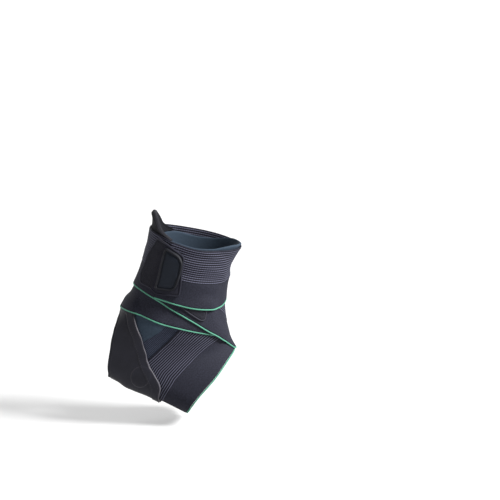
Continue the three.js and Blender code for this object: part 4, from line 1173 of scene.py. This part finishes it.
def grained(name, shade, tint, scale, detail, **surface):
    """Material mottled between two colours by one noise, which is also its bump."""
    material, node = new_material(name)
    place = node("TexCoord", output="Object")
    grain = node("TexNoise", inputs={"Vector": place, "Scale": scale, "Detail": detail, "Roughness": 0.55})
    finish(node, painted(node, shade, (grain, tint)), grain, **surface)
    return material


def sewing_thread(looks):
    """Twisted polyester thread, dark grey with a slight gloss."""
    return grained("dark_polyester_thread", looks.thread_shade, looks.thread, scale=4000.0, detail=1.0,
                   depth=0.00004, roughness=0.6, specular=0.2)


def studio_paper(looks):
    """Matt seamless paper lit through from behind, so that it stays white beside the lit brace."""
    return grained("white_seamless_paper", looks.paper_shade, looks.paper, scale=30.0, detail=2.0,
                   depth=0.00001, roughness=0.9, emission_color=(1, 1, 1, 1), emission_strength=0.42)


# Settings

def linear(colour):
    """Linear RGBA of an sRGB hex colour such as 0x2b2b33."""
    srgb = np.array([(colour >> 16) & 255, (colour >> 8) & 255, colour & 255]) / 255
    rgb = np.where(srgb <= 0.04045, srgb / 12.92, ((srgb + 0.055) / 1.055) ** 2.4)
    return (*rgb.tolist(), 1.0)


def setting(name, description, value, kind=FloatProperty, **more):
    """A setting with its label, its description and its default."""
    return kind(name=name, description=description, default=value, **more)


def length_of(name, description, value):
    """A length setting in metres."""
    return setting(name, description, value, unit="LENGTH", precision=5)


def colour_of(name, description, value):
    """A colour setting from an sRGB hex value."""
    return setting(name, description, linear(value), FloatVectorProperty,
                   subtype="COLOR", size=4, min=0, max=1)


class BraceSizes(bpy.types.PropertyGroup):
    """Sizes of the surfaces that a user would change"""

    column_step: length_of("Strap step", "Length of a face along a strap", 0.0014)
    rib_start: setting("Rib start", "Where the ribs start across a strap", 0.43, subtype="FACTOR")
    rib_end: setting("Rib end", "Where the ribs end across a strap", 0.985, subtype="FACTOR")
    rib_count: setting("Ribs", "Number of lengthwise ribs on a strap", 15, IntProperty)
    rib_height: length_of("Rib height", "How far a rib stands off the strap", 0.00028)
    ripple: length_of("Ripple", "Slight waviness of the stretched elastic", 0.00003)
    cord_width: length_of("Green edge", "Width of the woven green edge", 0.00135)
    edge_step: length_of("Edge step", "Length of a face along the green edge", 0.0004)
    pick_pitch: length_of("Pick pitch", "Distance between the picks of the green edge", 0.0016)
    pick_swell: setting("Pick swell", "How much each pick swells the edge", 0.035, subtype="FACTOR")
    disc_station: setting("Disc station", "Place down the ankle of the heel pad", 8.84)
    disc_angle: setting("Disc angle", "Degrees round the ankle of the heel pad", 108.6)
    disc_radius: length_of("Disc radius", "Radius of the round pad in the heel panel", 0.0092)
    disc_rise: length_of("Disc rise", "How far the round pad shows", 0.00035)
    crumple: length_of("Crumple", "Slight unevenness of the heel panel", 0.0002)
    panel_columns: setting("Panel columns", "Faces round the heel panel", 460, IntProperty)
    panel_rows: setting("Panel rows", "Faces across the heel panel", 70, IntProperty)
    hem_width: length_of("Hem width", "Width of the folded hem of the heel panel", 0.0082)
    hem_rise: length_of("Hem rise", "How far the hem stands off the panel", 0.0004)
    binding_width: length_of("Binding", "Width of the bound rim of the heel opening", 0.0026)
    sleeve_columns: setting("Sleeve columns", "Faces round the sleeve", 180, IntProperty)
    sleeve_rows: setting("Sleeve rows", "Faces along the sleeve", 150, IntProperty)
    ribbed_width: setting("Ribbed width", "Width of the sleeve's ribbed zone, mm", 11.8)
    ribbed_spread: setting("Ribbed spread", "Growth of that width by station, mm", 3.2)
    roll_rise: length_of("Rim roll", "Swell of the padded rim at its rolled top", 0.0009)
    stitch_length: length_of("Stitch", "Length of a stitch", 0.0016)
    stitch_pitch: length_of("Stitch pitch", "Distance from stitch to stitch", 0.0024)
    thread_radius: length_of("Thread", "Radius of the sewing thread", 0.00022)


class BraceLooks(bpy.types.PropertyGroup):
    """Colours of the materials"""

    knit: colour_of("Knit", "Slate knit", 0x36414D)
    knit_shade: colour_of("Knit shade", "Slate knit between the wales", 0x29333E)
    knit_rib: colour_of("Knit rib", "Crests of the ribbed zone", 0x353A49)
    knit_rib_shade: colour_of("Knit rib shade", "Between the ribs of the ribbed zone", 0x1B1E26)
    elastic: colour_of("Elastic", "Elastic yarn", 0x2A2B36)
    elastic_shade: colour_of("Elastic shade", "Elastic between the yarns", 0x111117)
    elastic_valley: colour_of("Elastic valley", "Ground between the ribs", 0x0E0E13)
    # Rib crests: partly the ribs' own lighter yarn, partly a painted highlight
    rib: colour_of("Rib", "Crests of the ribs", 0x575869)
    green: colour_of("Green", "Green edge yarn", 0x56967C)
    green_shade: colour_of("Green shade", "Green edge between picks", 0x38695A)
    laminate: colour_of("Laminate", "Heel panel", 0x1D1D26)
    laminate_shade: colour_of("Laminate shade", "Darker patches of the heel panel", 0x101017)
    # Colour of the core's cut edge, also used to tint the painted highlight round the round pad
    laminate_core_and_ring_highlight: colour_of("Laminate core", "Cut edge of the heel panel", 0x454348)
    hook: colour_of("Hook", "Hook patch", 0x26262D)
    hook_shade: colour_of("Hook shade", "Hook patch between the loops", 0x141419)
    hook_plain: colour_of("Hook plain", "Woven end of the closure patch", 0x212129)
    # Painted highlight on the raised welded border of the patches
    hook_border_highlight: colour_of("Hook border", "Welded border of the patches", 0x313138)
    rubber: colour_of("Rubber", "Floor of the pull tab", 0x10151E)
    rubber_rim: colour_of("Rubber rim", "Raised rim of the pull tab", 0x15161B)
    pad: colour_of("Pad", "Rim pad", 0x1F1F24)
    pad_shade: colour_of("Pad shade", "Rim pad between its loops", 0x0F0F12)
    thread: colour_of("Thread", "Sewing thread", 0x26262C)
    thread_shade: colour_of("Thread shade", "Sewing thread in the twist", 0x141419)
    paper: colour_of("Paper", "Studio floor", 0x969696)
    paper_shade: colour_of("Paper shade", "Studio floor, fibres", 0x929292)


class BraceStage(bpy.types.PropertyGroup):
    """Camera, floor and lights"""

    scale: setting("Millimetres a pixel", "Real size of a pixel at the brace", 0.97)
    elevation: setting("Elevation", "Camera angle above the horizon", np.radians(10),
                       subtype="ANGLE", unit="ROTATION")
    distance: length_of("Distance", "Camera to the brace", 2.2)
    floor_drop: length_of("Floor", "Floor below the lowest point of the brace", 0.006)
    key_strength: setting("Key", "Strength of the key light", 9.4)
    fill_strength: setting("Fill", "Strength of the fill light", 2.6)
    world_strength: setting("World", "Strength of the surroundings", 0.22)


# Operators

def settle(piece, material, slot, *nodes):
    """Gives a piece its material and ties it to the frame."""
    piece.data.materials.append(material)
    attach(piece, "root")
    if nodes:
        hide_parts(*nodes)


def cloth_area(piece):
    """Half of the surface of a closed sheet, in square metres."""
    areas = np.empty(len(piece.data.polygons))
    piece.data.polygons.foreach_get("area", areas)
    return float(areas.sum() / 2)


class BRACE_OT_sleeve(bpy.types.Operator):
    """Builds the knitted sleeve with its heel opening"""

    bl_idname = "brace.sleeve"
    bl_label = "Knitted Sleeve"

    def execute(self, context):
        scene = context.scene
        sleeve = build_sleeve("sleeve_knit", scene.brace_sizes)
        cutter = opening_cutter()
        cut = sleeve.modifiers.new("heel_opening", "BOOLEAN")
        cut.operation, cut.object, cut.solver = "DIFFERENCE", cutter, "EXACT"
        mesh = bpy.data.meshes.new_from_object(sleeve.evaluated_get(context.evaluated_depsgraph_get()))
        sleeve.modifiers.clear()
        sleeve.data = mesh
        mesh.name = "sleeve_knit"
        bpy.data.objects.remove(cutter)
        settle(sleeve, slate_knit(scene.brace_looks), "slate_knit", "knit_sleeve")
        return {"FINISHED"}


class BRACE_OT_rim_pad(bpy.types.Operator):
    """Builds the padded rim at the back of the leg"""

    bl_idname = "brace.rim_pad"
    bl_label = "Padded Rim"

    def execute(self, context):
        pad = build_rim_pad("rim_padding", context.scene.brace_sizes)
        settle(pad, padded_knit(context.scene.brace_looks), "padded_rim", "rim_pad")
        return {"FINISHED"}


class BRACE_OT_heel_panel(bpy.types.Operator):
    """Builds the laminated heel panel"""

    bl_idname = "brace.heel_panel"
    bl_label = "Heel Panel"

    def execute(self, context):
        sizes, looks = context.scene.brace_sizes, context.scene.brace_looks
        panel, seams = build_panel("heel_laminate", sizes)
        settle(panel, laminated_panel(looks), "laminated_panel", "heel_panel")
        cloth_area(panel)
        settle(build_stitches("heel_stitches", seams, sizes), sewing_thread(looks), "laminated_panel")
        return {"FINISHED"}


class BRACE_OT_straps(bpy.types.Operator):
    """Builds both elastic straps with their green edges"""

    bl_idname = "brace.straps"
    bl_label = "Elastic Straps"

    def execute(self, context):
        sizes, looks = context.scene.brace_sizes, context.scene.brace_looks
        green = green_selvedge(looks)
        # The last number, painted_rib_light, is 0.8 on the lower strap: painted shade on its rib crests
        for name, strap, height, dash_depth, painted_rib_light in (("lower", lower_strap, lower_height, 0.25, 0.8),
                                                       ("upper", upper_strap, upper_height, 0.45, 1.0)):
            elastic = build_strap(f"{name}_elastic", strap, height, sizes)
            cloth = black_elastic(looks, sizes, f"{name}_woven_elastic", dash_depth, painted_rib_light)
            settle(elastic, cloth, "black_elastic", f"{name}_strap")
            tape = build_edge(f"{name}_selvedge", strap, height, sizes)
            settle(tape, green, "green_edge", f"{name}_strap_edge")
        return {"FINISHED"}


class BRACE_OT_pads(bpy.types.Operator):
    """Builds the hook patches and the pull tab"""

    bl_idname = "brace.pads"
    bl_label = "Patches and Pull Tab"

    def execute(self, context):
        looks = context.scene.brace_looks
        closure = build_pad("closure_hooks", CLOSURE, on_straps, HOOK_PROFILE)
        settle(closure, hook_fabric(looks, "closure_hook_fabric", 1.0), "hook_fabric", "closure_patch")
        under = build_pad("under_hooks", UNDER_PATCH, on_first_pass, HOOK_PROFILE * (1, 0.8))
        settle(under, hook_fabric(looks, "under_hook_fabric", 40.0), "hook_fabric", "under_patch")
        tab = build_pad("pull_tab_moulding", TAB, on_closure, TAB_PROFILE)
        settle(tab, moulded_rubber(looks), "moulded_tab", "pull_tab")
        return {"FINISHED"}


class BRACE_OT_stage(bpy.types.Operator):
    """Sets the camera, the paper sweep and the studio lights"""

    bl_idname = "brace.stage"
    bl_label = "Studio Stage"

    def execute(self, context):
        stage = context.scene.brace_stage
        add_camera(stage)
        add_floor(stage, context.scene.brace_looks)
        add_lights(stage)
        return {"FINISHED"}


def add_camera(stage):
    """Camera that puts the ankle's centre at its place in a square frame of 500 pixels."""
    centre_column, centre_row, frame_pixels, sensor = 160, 325, 500, 36
    middle, scale = frame_pixels / 2, stage.scale * MM
    sine, cosine = np.sin(stage.elevation), np.cos(stage.elevation)
    right, up, forward = Vector((1, 0, 0)), Vector((0, sine, cosine)), Vector((0, cosine, -sine))
    target = right * (middle - centre_column) * scale + up * (centre_row - middle) * scale
    data = bpy.data.cameras.new("camera")
    data.sensor_width, data.clip_end = sensor, 100
    data.lens = sensor * stage.distance / (frame_pixels * scale)
    camera = link_object("camera", data)
    camera.matrix_world = Matrix.Translation(target - forward * stage.distance) @ Matrix(
        (right, up, -forward)).transposed().to_4x4()
    bpy.context.scene.camera = camera


def add_floor(stage, looks):
    """White paper floor whose rim rises into a wall all round: a square net of points whose height goes up
    smoothly with the distance from the middle."""
    inner, outer, wall = 9.0, 13.0, 6.0
    line = np.linspace(-outer, outer, 80)
    x, y = np.meshgrid(line, line, indexing="ij")
    z = CAD_BOX[0][2] - stage.floor_drop + wall * smooth_step(np.hypot(x, y), inner, outer)
    mesh = bpy.data.meshes.new("paper_sweep")
    mesh.from_pydata(np.stack([x, y, z], -1).reshape(-1, 3), [], net_faces(len(line), len(line)).tolist())
    mesh.polygons.foreach_set("use_smooth", np.ones(len(mesh.polygons), bool))
    mesh.materials.append(studio_paper(looks))
    floor = link_object("paper_sweep", mesh)


def add_lights(stage):
    """Pale surroundings, a broad key light from the front right and a weaker one from the far side."""
    scene = bpy.context.scene
    scene.world = bpy.data.worlds.new("white_surroundings")
    scene.world.use_nodes = True
    background = scene.world.node_tree.nodes["Background"]
    background.inputs[0].default_value = (1, 1, 1, 1)
    background.inputs[1].default_value = stage.world_strength
    for name, place, strength, spread in (("key", (1.15, -0.32, 0.9), stage.key_strength, 24),
                                          ("fill", (-0.15, 1.0, 0.5), stage.fill_strength, 50)):
        data = bpy.data.lights.new(name, "SUN")
        data.energy, data.angle = strength, np.radians(spread)
        link_object(name, data).rotation_euler = (-Vector(place)).to_track_quat("-Z", "Y").to_euler()
    scene.view_settings.view_transform = "Standard"


class BRACE_PT_panel(bpy.types.Panel):
    """Lists the steps that build the brace"""

    bl_idname = "BRACE_PT_panel"
    bl_label = "Ankle Brace"
    bl_space_type = "VIEW_3D"
    bl_region_type = "UI"
    bl_category = "Brace"

    def draw(self, context):
        for step in STEPS:
            self.layout.operator(step.bl_idname)


STEPS = (BRACE_OT_sleeve, BRACE_OT_rim_pad, BRACE_OT_heel_panel, BRACE_OT_straps, BRACE_OT_pads,
         BRACE_OT_stage)
GROUPS = {"brace_sizes": BraceSizes, "brace_looks": BraceLooks, "brace_stage": BraceStage}


def register():
    """Registers the settings, the steps and the panel."""
    for name, group in GROUPS.items():
        bpy.utils.register_class(group)
        setattr(bpy.types.Scene, name, PointerProperty(type=group))
    for step in (*STEPS, BRACE_PT_panel):
        bpy.utils.register_class(step)


def unregister():
    """Takes away what register added."""
    for step in (BRACE_PT_panel, *reversed(STEPS)):
        bpy.utils.unregister_class(step)
    for name, group in reversed(GROUPS.items()):
        delattr(bpy.types.Scene, name)
        bpy.utils.unregister_class(group)


def main():
    """Builds every piece in order."""
    register()
    bpy.ops.brace.sleeve()
    bpy.ops.brace.rim_pad()
    bpy.ops.brace.heel_panel()
    bpy.ops.brace.straps()
    bpy.ops.brace.pads()
    bpy.ops.brace.stage()


if __name__ == "__main__":
    main()
